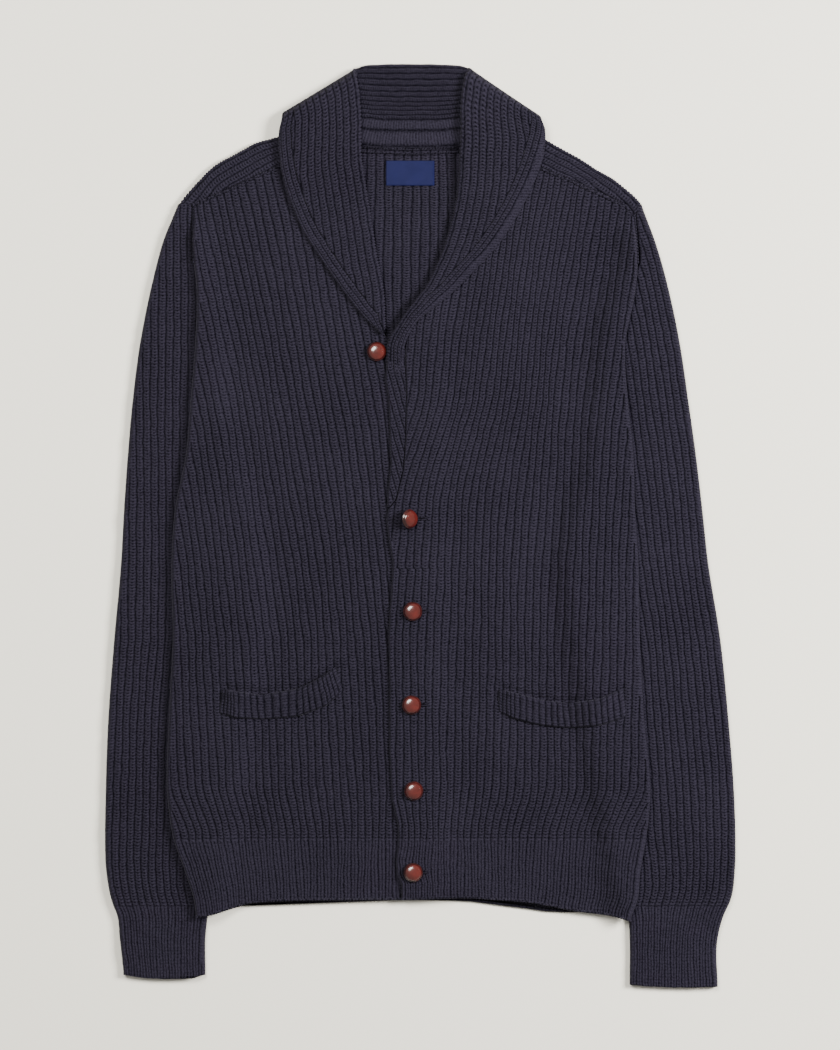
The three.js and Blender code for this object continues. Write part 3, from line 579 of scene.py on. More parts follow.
def leather_material():
    """Glossy oxblood leather with a fine grain, and painted shade darkening it towards the rim."""
    made, recipe, shader = material("brown_leather")
    place = recipe.add("ShaderNodeTexCoord").outputs["Object"]
    mark = recipe.add("ShaderNodeAttribute", {"attribute_name": "edge"}).outputs["Fac"]
    edge = Value(recipe, mark)
    grain = recipe.level(place, 900.0, 4.0, 0.6)
    cloud = recipe.level(place, 160.0, 2.0, 0.5)
    # Painted shade: edge * 0.5 darkens the cap towards its rim; cloud and grain are the leather's own tone.
    tone = recipe.maths("ADD", 0.55 + (cloud - 0.5) * 0.9, (grain - 0.5) * 0.4 - edge * 0.5, clamp=True)
    colour = recipe.blend(tone, LEATHER_DARK, LEATHER_LIGHT)
    recipe.feed(shader.inputs["Base Color"], colour)
    recipe.feed(shader.inputs["Roughness"], 0.3)
    recipe.feed(shader.inputs["Specular IOR Level"], 0.35)
    recipe.feed(shader.inputs["Coat Weight"], 1.0)
    recipe.feed(shader.inputs["Coat Roughness"], 0.16)
    recipe.feed(shader.inputs["Coat IOR"], 1.7)
    bump = recipe.add("ShaderNodeBump", sockets={"Strength": 0.25, "Distance": 0.0002, "Height": grain})
    recipe.feed(shader.inputs["Normal"], bump.outputs[0])
    return made


def label_material():
    """Royal blue ribbon, woven in fine ribs across its width."""
    made, recipe, shader = material("label_blue")
    place = recipe.add("ShaderNodeTexCoord").outputs["Object"]
    x, y, z = recipe.parts(place)
    weft = recipe.maths("SINE", y * (2 * math.pi / 0.0007)) * 0.5 + 0.5
    warp = recipe.maths("SINE", x * (2 * math.pi / 0.0005)) * 0.5 + 0.5
    cloud = recipe.level(place, 120.0, 2.0, 0.5)
    tone = recipe.maths("ADD", weft * 0.5 + warp * 0.2, (cloud - 0.3) * 0.8, clamp=True)
    colour = recipe.blend(tone, LABEL_DARK, LABEL_LIGHT)
    recipe.feed(shader.inputs["Base Color"], colour)
    recipe.feed(shader.inputs["Roughness"], 0.6)
    recipe.feed(shader.inputs["Specular IOR Level"], 0.12)
    height = weft * 0.7 + warp * 0.3
    bump = recipe.add("ShaderNodeBump", sockets={"Strength": 0.4, "Distance": 0.0002, "Height": height})
    recipe.feed(shader.inputs["Normal"], bump.outputs[0])
    return made


def floor_material():
    made, recipe, shader = material("pale_floor")
    place = recipe.add("ShaderNodeTexCoord").outputs["Object"]
    cloud = recipe.level(place, 2.0, 2.0, 0.5)
    recipe.feed(shader.inputs["Base Color"], recipe.blend(cloud, (0.85, 0.83, 0.74, 1), (0.89, 0.87, 0.78, 1)))
    recipe.feed(shader.inputs["Roughness"], 0.85)
    return made


class Wall:
    """A closed knit wall that is being made: its points in millimetres, which way the knit stands up
    at each, the rib, course and relief share of each, and its triangles."""

    def __init__(self):
        self.points = []
        self.outward = []
        self.marks = []
        self.triangles = []
        self.total = 0

    def add_rows(self, points, outward, marks):
        """Numbers for rows of points. Neighbours in a row that coincide share a number."""
        rows, columns = points.shape[:2]
        fresh = np.ones((rows, columns), bool)
        fresh[:, 1:] = np.linalg.norm(np.diff(points, axis=1), axis=2) > 1e-3
        numbers = self.total + np.cumsum(fresh.ravel()).reshape(rows, columns) - 1
        for store, values in ((self.points, points), (self.outward, outward), (self.marks, marks)):
            store.append(values.reshape(-1, 3)[fresh.ravel()])
        self.total += int(fresh.sum())
        return numbers

    def join_rows(self, numbers, closed=True):
        if closed:
            numbers = np.hstack([numbers, numbers[:, :1]])
        a, b = numbers[:-1, :-1], numbers[:-1, 1:]
        c, d = numbers[1:, 1:], numbers[1:, :-1]
        for corners in ((a, b, c), (a, c, d)):
            found = np.stack(corners, -1).reshape(-1, 3)
            first, second, third = found.T
            whole = (first != second) & (second != third) & (third != first)
            self.triangles.append(found[whole])

    def where(self, numbers):
        return np.vstack(self.points)[numbers]

    def zip_lines(self, first, second):
        """Triangles between two lines of points that run the same way, matched by their length."""
        lines = []
        for numbers in (first, second):
            kept = [numbers[0]] + [b for a, b in zip(numbers, numbers[1:]) if a != b]
            steps = np.linalg.norm(np.diff(self.where(kept), axis=0), axis=1)
            lines.append((kept, np.concatenate([[0], np.cumsum(steps)]) / max(steps.sum(), 1e-6)))
        (one, one_at), (two, two_at) = lines
        a = b = 0
        found = []
        while a < len(one) - 1 or b < len(two) - 1:
            on_first = b == len(two) - 1 or (a < len(one) - 1 and one_at[a + 1] <= two_at[b + 1])
            found.append((one[a], two[b], one[a + 1] if on_first else two[b + 1]))
            a, b = (a + 1, b) if on_first else (a, b + 1)
        self.triangles.append(np.array(found))

    def close_end(self, numbers, split):
        """Closes a row's loop, whose outer line has split points and whose inner line has the rest."""
        self.zip_lines(list(numbers[:split]), list(numbers[split:][::-1]))

    def join_loops(self, first, second):
        """Joins two loops that have different numbers of points."""
        self.zip_lines([*first, first[0]], [*second, second[0]])

    def piece(self, name):
        """The wall as an object, its faces turned outwards."""
        mesh = bpy.data.meshes.new(name)
        mesh.from_pydata(np.vstack(self.points) * MM, [], np.vstack(self.triangles))
        shaped = bmesh.new()
        shaped.from_mesh(mesh)
        bmesh.ops.recalc_face_normals(shaped, faces=shaped.faces)
        shaped.to_mesh(mesh)
        shaped.free()
        for label, values in (("knit", self.marks), ("outward", self.outward)):
            attribute = mesh.attributes.new(label, "FLOAT_VECTOR", "POINT")
            attribute.data.foreach_set("vector", np.vstack(values).astype(np.float32).ravel())
        mesh.shade_smooth()
        made = bpy.data.objects.new(name, mesh)
        bpy.context.scene.collection.objects.link(made)
        return made


def stacked(*columns):
    return np.stack(np.broadcast_arrays(*columns), axis=-1).astype(float)


def rib_columns(first, last):
    """Places across the ribs: each rib's valley, its two stitch legs and the middle between them."""
    return np.array([rib + share for rib in range(first, last) for share in RIB_SHARES] + [last], float)


def off_crest(rib):
    return np.abs(2 * (rib % 1) - 1)


def fine_ribs(off):
    """The mark of a rib that a shallow groove parts into two fine lines."""
    crest, groove = FINE_RIBS["crest"], FINE_RIBS["groove"]
    return crest + np.where(off > 0.5, (1 - crest) * (2 * off - 1), (groove - crest) * (1 - 2 * off))


def courses(first, last, stitch):
    """Heights of half stitches from one height to another."""
    return np.linspace(first, last, int(abs(last - first) / (stitch / 2)) + 1)


def lying_rows(band):
    """Loops round a wall that lies flat, one for each course: along the top and back underneath.
    Returns the points, outward directions and marks, and how many points of a loop are on top."""
    level = band["levels"][:, None]
    rib = band["ribs"][None, :] + 0 * level
    low, high = band["low"](level), band["high"](level)
    low_round = np.broadcast_to(band["low_round"](level), level.shape)
    high_round = np.broadcast_to(band["high_round"](level), level.shape)
    left, right = low + low_round, high - high_round
    x = band["place"](rib, level)
    held = np.clip(x, left, right)
    inside = held == x
    # The edge tone is the rib mark on the rounded rims, which sets how much painted valley shade they get in the
    # knit's colour.
    low_tone, high_tone = band.get("edge_tone", (0.6, 0.6))
    shape = fine_ribs if band.get("fine") else np.abs
    off = np.where(inside, shape(off_crest(rib)), np.where(x < left, low_tone, high_tone))
    rows = np.arange(len(level))[:, None]
    ends = np.minimum(rows, len(level) - 1 - rows)
    bend = band["stitch"] * STITCH_SLANT * np.clip(ends / 3, 0, 1)
    y = band["height"](held, level) + bend * off_crest(rib) * inside
    share = band["relief"](held, y) + 0 * held
    course = rows % 2 * (FINE_RIBS["beat"] if band.get("fine") else BEAT) + 0 * held
    top = stacked(held, y, band["top"](held, y))
    parts = [(top, stacked(0 * held, 0 * held, 1 + 0 * held), stacked(off, course, share))]
    for edge, radius, sign in ((left, low_round, -1), (right, high_round, 1)):
        turn = np.linspace(np.pi, 0, RIM_STEPS, endpoint=False)[None, :]
        if sign > 0:
            turn = turn[:, ::-1]
        edge_y = band["height"](edge, level)
        middle = band["top"](edge, edge_y) - radius
        out_x, out_z = sign * np.sin(turn), np.cos(turn)
        rim = stacked(edge + radius * out_x, edge_y + 0 * turn, middle + radius * out_z)
        direction = stacked(out_x + 0 * edge, 0 * turn + 0 * edge, out_z + 0 * edge)
        tone = high_tone if sign > 0 else low_tone
        marks = stacked(tone + 0 * turn + 0 * edge, course[:, :1] + 0 * turn, 0.05 + 0 * turn + 0 * edge)
        parts.insert(0 if sign < 0 else len(parts), (rim, direction, marks))
    on_top = sum(part[0].shape[1] for part in parts)
    inner_x = np.clip(band["inner"](level), left + 0.1, right - 0.1)[:, ::-1]
    inner_y = band["height"](inner_x, level)
    inner = stacked(inner_x, inner_y, band["under"](inner_x, inner_y))
    plain = stacked(0.5 + 0 * inner_x, course[:, :1] + 0 * inner_x, 0 * inner_x)
    parts.append((inner, 0 * inner, plain))
    return [np.concatenate(group, axis=1) for group in zip(*parts)], on_top


def lying_wall(bands):
    """A closed wall from bands of rows that follow each other, each with its own ribs."""
    wall = Wall()
    previous = None
    for number, band in enumerate(bands):
        (points, outward, marks), on_top = lying_rows(band)
        loops = wall.add_rows(points, outward, marks)
        wall.join_rows(loops)
        if previous is None:
            wall.close_end(loops[0], on_top)
        else:
            wall.join_loops(previous, loops[0])
        if number == len(bands) - 1:
            wall.close_end(loops[-1], on_top)
        previous = loops[-1]
    return wall


def hem_height(points, x, level):
    """Height of a course in the hem, which follows the hem's curve more and more on the way down."""
    share = (HEM_TOP - level) / (HEM_TOP - points[0][1])
    return HEM_TOP + (straight(points, x) - HEM_TOP) * share


def shoulder_line(side):
    return [(y - 2 * SEAM, x) for x, y in SHOULDERS[side]["seam"]]


def side_line(side, inset):
    """X of the body's edge at a height: the side fold, and above it the shoulder seam."""
    shoulder = shoulder_line(side)
    inwards = 1 if side == "right" else -1

    def at(y):
        y = np.asarray(y, float)
        fold = side_value(side, "body", np.minimum(y, shoulder[0][0])) + inwards * inset
        return np.where(y <= shoulder[0][0], fold, straight(shoulder, y))

    return at


def front_edge(y):
    return straight([(height, x) for x, height in FRONT_EDGE], y)


def collar_seam(from_row, to_row, shift):
    return [(row[5], row[4] + shift) for row in COLLAR[from_row:to_row]]


def right_front_x(rib, y):
    share = 0.75 + 0.25 * np.clip((rib + 8) / 16, 0, 1)
    width = gathered(y, HEM_GATHER, HEM_TOP, BODY_RIB, HEM_RIB)
    return FRONT_RIB_START - width * rib - share * straight(RIB_LEAN["right"], y) + wander(rib, y)


def edge_pull(x, y):
    """How far the ribs beside the left front's edge follow it where it bends above the hem."""
    return (front_edge(y) + 28.5) * np.clip((EDGE_PULL_END - x) / 50, 0, 1) * (y < -40)


def left_front_x(rib, y):
    rise = smooth((y - MITRE_SWING["low"]) / (MITRE_SWING["high"] - MITRE_SWING["low"]))
    swing = MITRE_SWING["size"] * rise * np.clip((MITRE_SWING["ribs"] - rib) / 16, 0, 1)
    width = gathered(y, HEM_GATHER, HEM_TOP, BODY_RIB, HEM_RIB)
    x = FRONT_RIB_START + width * rib + straight(RIB_LEAN["left"], y) + swing + wander(rib, y)
    return x + edge_pull(x, y)


def hem_x(side, x, y):
    start = side_value(side, "body", HEM_TOP)
    share = np.clip((x - HEM_MIDDLE) / (start - HEM_MIDDLE), 0, 1)
    return x + (side_value(side, "body", y) - start) * share ** 3


def inner_places(*functions):
    def at(level):
        return np.concatenate([place(level) + 0 * level for place in functions], axis=1)
    return at


def welded(y, height, reach=3.0):
    """Share of the relief near the line where one rib ends and another begins."""
    return 1 - 0.15 * np.exp(-((y - height) / reach) ** 2)


def pocket_dip(side, x, y):
    """How far the front sinks behind the open top of its pocket."""
    top = np.array(POCKETS[side]["top"], float)
    above = y - np.interp(x, top[:, 0], top[:, 1])
    across = smooth((x - top[0, 0] + 4) / 6) * smooth((top[-1, 0] + 4 - x) / 6)
    return POCKET_DIP * across * smooth((7 - above) / 6) * smooth((above + 14) / 4)


def buttonhole_dip(side, x, y):
    """Depth of the slits beside the buttons that are done up."""
    if side == "right":
        return 0 * x
    depth = 0 * x
    for button_x, button_y, fastened, tilt in BUTTONS:
        if fastened:
            across = smooth((x - button_x) / 3) * smooth((BUTTONHOLE_END - x) / 3)
            depth = depth + BUTTONHOLE_DEPTH * across * np.exp(-((y - button_y - 0.3) / 1.1) ** 2)
    return depth


def front_bands(side, ribs, top_height, low, high, rounds, height_under, relief):
    """The body and hem bands of one front."""
    sign = -1 if side == "right" else 1
    hem = HEMS[side]
    place = right_front_x if side == "right" else left_front_x
    ramps = [
        low,
        high,
        lambda y: side_value(side, "inner", y),
        lambda y: side_value(side, "inner", y) - sign * RAMP * 0.5,
        lambda y: side_value(side, "inner", y) - sign * RAMP,
        lambda y: 0 * y + OVERLAP_END,
        lambda y: 0 * y + OVERLAP_END + RAMP * 0.5,
        lambda y: 0 * y + OVERLAP_END + RAMP,
    ]

    def sorted_inner(y):
        return np.sort(inner_places(*ramps)(y), axis=1)

    shared = {
        "low": low, "high": high, "low_round": rounds[0], "high_round": rounds[1],
        # Painted shade on the rims: marks of 0.36 and 0.5 keep the rounded edges light in the knit's colour.
        "edge_tone": (0.36, 0.5),
        "top": lambda x, y: height_under(x, y) + WALL - pocket_dip(side, x, y) - buttonhole_dip(side, x, y),
        "relief": lambda x, y: relief(x, y) * welded(y, HEM_TOP) * (buttonhole_dip(side, x, y) < 0.4),
        "under": height_under, "inner": sorted_inner,
    }
    main_levels = courses(top_height, HEM_TOP, STITCH["body"])
    hem_levels = courses(HEM_TOP, hem[0][1] if side == "right" else hem[-1][1], STITCH["hem"])[1:]
    corner = HEM_CORNERS[side]

    def hem_share(level):
        return (HEM_TOP - level) / (HEM_TOP - corner)

    main = {
        **shared, "ribs": ribs, "levels": main_levels, "stitch": STITCH["body"],
        "place": place, "height": lambda x, y: y + 0 * x,
    }
    bottom = {
        **shared, "ribs": ribs, "levels": hem_levels, "stitch": STITCH["hem"],
        "fine": True, "place": lambda rib, y: hem_x(side, place(rib, y), y),
        "relief": lambda x, y: FINE_RIBS["relief"] * shared["relief"](x, y),
        "height": lambda x, y: HEM_TOP + (curved(hem, x) - HEM_TOP) * hem_share(y),
    }
    return [main, bottom]


def side_rounding(side):
    """Radius of the body's edge: a full fold at the side, and one thickness along the shoulder."""
    return lambda y: EDGE_ROUND + (SIDE_ROUND - EDGE_ROUND) * smooth((290 - y) / 12)


def front_right():
    def under(x, y):
        return FRONT_UNDER + lift(x, y)

    neck = [(-400, OVERLAP_END), (154, OVERLAP_END), (158, -20), *collar_seam(0, 9, -SEAM)]
    return front_bands(
        "right",
        ribs=rib_columns(-7, 33)[::-1],
        top_height=SHOULDERS["right"]["seam"][-1][1] - 2 * SEAM,
        low=side_line("right", 0),
        high=lambda y: straight(neck, y),
        rounds=(side_rounding("right"), lambda y: EDGE_ROUND),
        height_under=under,
        relief=lambda x, y: smooth((front_edge(y) - x + 1) / 3),
    )


def front_left():
    def under(x, y):
        return FRONT_UNDER + lift(x, y) + overlap_rise(x)

    edge = [(y, x) for x, y in FRONT_EDGE if y < 10]
    edge += [(y, x + SEAM) for x, y in MITRE]
    edge += collar_seam(25, 34, SEAM)
    return front_bands(
        "left",
        ribs=rib_columns(-6, 39),
        top_height=SHOULDERS["left"]["seam"][-1][1] - 2 * SEAM,
        low=lambda y: straight(edge, y),
        high=side_line("left", 0),
        rounds=(lambda y: EDGE_ROUND, side_rounding("left")),
        height_under=under,
        relief=lambda x, y: 1,
    )


def back_band():
    """The back, whose ribs show in the opening of the neck."""
    hem = BACK_HEM
    inset = SIDE_ROUND + 0.5
    low_side, high_side = side_line("right", inset), side_line("left", inset)
    neck_low = [(338.2, -111), (348, -100), (351, -81)]
    neck_high = [(336.2, 95), (348, 86), (351, 66)]

    def low(y):
        return np.where(y > neck_low[0][0], straight(neck_low, y), low_side(y))

    def high(y):
        return np.where(y > neck_high[0][0], straight(neck_high, y), high_side(y))

    opening_low = collar_seam(0, 9, 4)
    opening_high = collar_seam(25, 34, -4)

    def relief(x, y):
        across = smooth((x - straight(opening_low, y)) / 3) * smooth((straight(opening_high, y) - x) / 3)
        return across * smooth((y - 172) / 4) * smooth((346 - y) / 2)

    def height(x, level):
        share = np.clip((HEM_TOP - level) / (HEM_TOP + 361), 0, 1)
        return np.where(level < HEM_TOP, HEM_TOP + (curved(hem, x) - HEM_TOP) * share, level + 0 * x)

    coarse = np.array([-30.0, -26, -23, -20, -17])
    fine = courses(351, 165, STITCH["back"])
    lower = np.linspace(158, -361, 48)
    shared = {
        "low": low, "high": high, "low_round": lambda y: 1.3, "high_round": lambda y: 1.3,
        "place": lambda rib, y: BACK_RIB * rib + wander(rib, y) * (np.abs(rib) < 14), "height": height,
        "top": lambda x, y: BACK_TOP + lift(x, y), "under": lambda x, y: lift(x, y), "relief": relief,
        "inner": lambda y: np.linspace(-232, 212, 14)[None, :] + 0 * y,
    }
    upper = {
        **shared, "levels": fine, "stitch": STITCH["back"],
        "ribs": np.concatenate([coarse, rib_columns(-13, 12), [15, 18, 22, 27]]),
    }
    below = {**shared, "levels": lower, "stitch": 0, "ribs": np.arange(-30.0, 29, 2)}
    return [upper, below]


def tongue_band():
    """The collar's end below the break, a narrow strip along the front edge."""
    edge = [(y, x) for x, y in FRONT_EDGE if y > 3]
    mitre = [(y, x - 0.1) for x, y in MITRE]

    def under(x, y):
        return FRONT_UNDER + overlap_rise(x)

    return [{
        "low": lambda y: straight(edge, y), "high": lambda y: straight(mitre, y),
        "low_round": lambda y: EDGE_ROUND, "high_round": lambda y: 0.3,
        "ribs": rib_columns(-9, 5), "levels": courses(166, 17, STITCH["collar"]), "stitch": STITCH["collar"],
        "place": lambda rib, y: -27 + TONGUE_RIB * rib - 0.27 * (y - 166) - 0.27 * 75,
        "height": lambda x, y: y + 0 * x,
        "top": lambda x, y: under(x, y) + WALL, "under": under,
        "relief": lambda x, y: 1, "inner": lambda y: np.array([[-40.0, 0.0]]) + 0 * y,
    }]


def sleeve_wall(side):
    """A flattened sleeve: a tube with a flat space inside, open at the cuff and at the armhole."""
    inwards = 1 if side == "right" else -1
    names = ("outer", "inner") if side == "right" else ("inner", "outer")
    ends = CUFF_ENDS[side]
    lowest = min(y for x, y in ends)
    top_height = SHOULDERS[side]["fold"][0][1] - 0.5

    def first_rib(y):
        outer = side_value(side, "outer", y)
        if side == "left":
            return outer
        return np.where(y > UPRIGHT_RIBS["above"], UPRIGHT_RIBS["start"], outer)

    def place(rib, y):
        size = gathered(y, CUFF_GATHER, CUFF_TOP, SLEEVE_RIB, CUFF_RIB)
        return first_rib(y) + inwards * size * rib + wander(rib, y) * 0.7

    def cuff_place(rib, y):
        outer, inner = side_value(side, "outer", y), side_value(side, "inner", y)
        start, end = side_value(side, "outer", CUFF_TOP), side_value(side, "inner", CUFF_TOP)
        return outer + inwards * CUFF_RIB * rib * (inner - outer) / (end - start) + wander(rib, y) * 0.7

    def relief(x, y):
        return smooth((inwards * (side_value(side, "body", y) - x) + 5) / 6)

    def cuff_relief(x, y):
        return FINE_RIBS["relief"] * np.where(y < -365, 1, relief(x, y)) * welded(y, CUFF_TOP)

    def cuff_height(x, level):
        share = (CUFF_TOP - level) / (CUFF_TOP - lowest)
        return CUFF_TOP + (curved(ends, x) - CUFF_TOP) * share

    half = SLEEVE_TOP / 2
    shared = {
        "low": lambda y: side_value(side, names[0], y), "high": lambda y: side_value(side, names[1], y),
        "low_round": lambda y: half, "high_round": lambda y: half,
        "top": lambda x, y: SLEEVE_TOP + 0 * x, "under": lambda x, y: 0 * x,
        "inner": lambda y: np.array([[-300.0, -250, -200, 200, 250, 300]]) + 0 * y,
    }
    ribs = rib_columns(-1, 19)
    levels = courses(top_height, CUFF_TOP, STITCH["body"])
    cuff_levels = courses(CUFF_TOP, lowest, STITCH["cuff"])[1:]
    bands = (
        {**shared, "ribs": ribs[::inwards], "levels": levels, "stitch": STITCH["body"],
         "place": place, "height": lambda x, y: y + 0 * x,
         "relief": lambda x, y: relief(x, y) * welded(y, CUFF_TOP)},
        {**shared, "ribs": ribs[::inwards], "levels": cuff_levels, "stitch": STITCH["cuff"], "fine": True,
         "place": cuff_place, "height": cuff_height, "relief": cuff_relief},
    )
    wall = Wall()
    loops = []
    for band in bands:
        (points, outward, marks), on_top = lying_rows(band)
        loops.append(wall.add_rows(points, outward, marks))
        wall.join_rows(loops[-1])
    wall.join_loops(loops[0][-1], loops[1][0])
    heights = np.linspace(top_height, lowest, 30)[:, None]
    low, high = shared["low"](heights) + SLEEVE_VOID["inset"], shared["high"](heights) - SLEEVE_VOID["inset"]
    across = np.concatenate([low, low, high, high], axis=1)
    up = np.array([[SLEEVE_VOID[name] for name in ("low", "high", "high", "low")]]) + 0 * across
    along = heights + 0 * across
    along[-1] = curved(ends, across[-1])
    space = stacked(across, along, up)
    rings = wall.add_rows(space, 0 * space, stacked(0.5 + 0 * across, along / 3, 0 * across))
    wall.join_rows(rings)
    wall.join_loops(loops[0][0], rings[0])
    wall.join_loops(loops[1][-1], rings[-1])
    return wall


def station_values(table, at):
    """The collar's or shoulder's measures at places along its length."""
    rows = np.array(table, float)
    steps = [np.linalg.norm(np.diff(rows[:, i:i + 2], axis=0), axis=1) for i in (0, 2, 4)]
    places = np.concatenate([[0], np.cumsum(np.mean(steps, axis=0))])
    if at is None:
        return places[-1]
    values = {name: eased(places, rows[:, i], at) for i, name in enumerate(COLLAR_COLUMNS)}
    values["turn"] = np.clip(values["turn"], 0, 1)
    return values


def fold_geometry(table, at):
    """Where the middle of the fold is at places along it, and the directions across and away."""
    v = station_values(table, at)
    lines = ("free", "roll", "seam")
    free, roll, seam = (stacked(v[f"{line}_x"], v[f"{line}_y"], v["mid"]) for line in lines)
    across = roll - (free + seam) / 2
    across /= np.linalg.norm(across, axis=-1, keepdims=True)
    angle = v["turn"] * np.pi
    away = stacked(v["side_x"] * np.sin(angle), v["side_y"] * np.sin(angle), np.cos(angle))
    centre = roll - across * FOLD_INSET
    return v, free, seam, centre, across, away


def folded_wall(table, stand, fall_ribs, fall_rib, edge_ribs, stitch):
    """A folded band: the stand from its seam up to the fold, and the fall back to its free edge."""
    length = station_values(table, None)
    levels = np.linspace(0, length, int(length / (stitch / 2)) + 1)[:, None]
    rows = np.arange(len(levels))[:, None]
    ends = np.clip(np.minimum(rows, len(levels) - 1 - rows) / 3, 0, 1)
    parts = []

    def add(points, outward, off, share):
        course = rows * 0.5 + 0 * off
        parts.append((points, outward + 0 * points, stacked(off + 0 * course, course, share + 0 * course)))

    def along(off):
        return levels + stitch * STITCH_SLANT * off * ends

    outside, inside = FOLD_HALF + WALL / 2, FOLD_HALF - WALL / 2

    stand_ribs = rib_columns(0, len(stand) - 1)[None, :]
    share_up = np.interp(stand_ribs, np.arange(len(stand)), np.array(stand) / stand[-1])
    off = np.where(stand_ribs < 2, np.maximum(off_crest(stand_ribs), 0.5), off_crest(stand_ribs) ** 0.5)
    v, free, seam, centre, across, away = fold_geometry(table, along(off))
    length_up = np.linalg.norm(centre - seam, axis=-1)
    start = EDGE_ROUND / np.maximum(length_up, EDGE_ROUND)
    t = (start + (1 - start) * share_up)[..., None]
    shown = smooth((v["turn"] - 0.35) / 0.3)
    add(seam + (centre - seam) * t - away * outside, -away, off, shown * np.where(stand_ribs < 2, 0.6, 1))

    bend = np.linspace(0, np.pi, FOLD_STEPS + 1)[None, 1:-1]
    v, free, seam, centre, across, away = fold_geometry(table, levels + 0 * bend)
    normal = -away * np.cos(bend)[..., None] + across * np.sin(bend)[..., None]
    add(centre + normal * outside, normal, 0.8 * np.abs(np.cos(bend)) ** 2 + 0 * levels, 0.6)

    fall = rib_columns(0, fall_ribs)[None, :]
    edge = rib_columns(0, edge_ribs)[None, :] if edge_ribs else np.zeros((1, 1))
    strip = np.array([[0.34, 0.67, 1.0]])
    columns = np.concatenate([fall, edge, strip], axis=1)
    kind = np.array([[0] * fall.shape[1] + [1] * edge.shape[1] + [2] * 3])
    # The plain strip's mark of 0.5 keeps it light in the painted valley shade of the knit's colour.
    off = np.where(kind == 2, 0.5, off_crest(columns))
    v, free, seam, centre, across, away = fold_geometry(table, along(off * (kind < 2)))
    length_down = np.linalg.norm(free - centre, axis=-1)
    band = edge_ribs * EDGE_RIB
    wanted = band + v["strip"] + EDGE_ROUND
    scale = np.minimum(1, 0.8 * length_down / wanted)
    start_edge = length_down - wanted * scale
    reach = np.where(kind == 0, np.minimum(fall_rib * columns, start_edge), 0)
    off = np.where((kind == 0) & (fall_rib * columns >= start_edge), 1, off)
    reach = np.where(kind == 1, start_edge + EDGE_RIB * columns * scale, reach)
    reach = np.where(kind == 2, start_edge + (band + v["strip"] * columns) * scale, reach)
    t = (reach / length_down)[..., None]
    drop = STRIP_DROP * np.clip((v["strip"] - 1) / 5, 0, 1)
    into = np.clip((reach - (length_down - EDGE_ROUND - v["strip"] * scale)) / np.maximum(v["strip"], 1), 0, 1)
    sink = (drop * into ** 2)[..., None] * away
    shown = 1 - smooth((v["turn"] - 0.05) / 0.35)
    raised = np.choose(kind, (1.0, 0.7, 0.1))
    add(centre + (free - centre) * t + away * outside - sink, away, off, shown * raised)

    turn = np.linspace(0, np.pi, RIM_STEPS + 1)[None, 1:]
    v, free, seam, centre, across, away = fold_geometry(table, levels + 0 * turn)
    outwards = free - centre
    outwards /= np.linalg.norm(outwards, axis=-1, keepdims=True)
    normal = away * np.cos(turn)[..., None] + outwards * np.sin(turn)[..., None]
    sink = (STRIP_DROP * np.clip((v["strip"] - 1) / 5, 0, 1))[..., None] * away
    core = free - outwards * EDGE_ROUND + away * FOLD_HALF - sink
    add(core + normal * (WALL / 2), normal, 0.6 + 0 * turn + 0 * levels, 0.05)

    on_top = sum(part[0].shape[1] for part in parts)
    back = np.array([[0.85, 0.5, 0.15]])
    v, free, seam, centre, across, away = fold_geometry(table, levels + 0 * back)
    add(centre + (free - centre) * back[..., None] + away * inside, 0 * away, 0.5 + 0 * back, 0)
    bend = np.linspace(np.pi, 0, 5)[None, :]
    v, free, seam, centre, across, away = fold_geometry(table, levels + 0 * bend)
    normal = -away * np.cos(bend)[..., None] + across * np.sin(bend)[..., None]
    add(centre + normal * inside, 0 * away, 0.5 + 0 * bend, 0)
    v, free, seam, centre, across, away = fold_geometry(table, levels + 0 * back)
    add(centre + (seam - centre) * back[:, ::-1, None] - away * inside, 0 * away, 0.5 + 0 * back, 0)
    turn = np.linspace(np.pi, 0, RIM_STEPS + 1)[None, :-1]
    v, free, seam, centre, across, away = fold_geometry(table, levels + 0 * turn)
    outwards = seam - centre
    outwards /= np.linalg.norm(outwards, axis=-1, keepdims=True)
    normal = -away * np.cos(turn)[..., None] + outwards * np.sin(turn)[..., None]
    core = seam - outwards * EDGE_ROUND - away * FOLD_HALF
    add(core + normal * (WALL / 2), 0 * away, 0.5 + 0 * turn, 0)

    wall = Wall()
    points, outward, marks = (np.concatenate(group, axis=1) for group in zip(*parts))
    loops = wall.add_rows(points, outward, marks)
    wall.join_rows(loops)
    wall.close_end(loops[0], on_top)
    wall.close_end(loops[-1], on_top)
    return wall


def saddle_table(side):
    """The shoulder's stations, in the collar's columns: both edges lie on the shoulder seam."""
    return [
        (*seam, *fold, *seam, 2.8, 0, 0, 0, 0.5)
        for fold, seam in zip(SHOULDERS[side]["fold"], SHOULDERS[side]["seam"])
    ]


def edge_points(line, share):
    """Points of a welt's bottom or top edge, counted along its table's rows."""
    count = np.arange(len(line))
    return stacked(np.interp(share, count, line[:, 0]), np.interp(share, count, line[:, 1]))


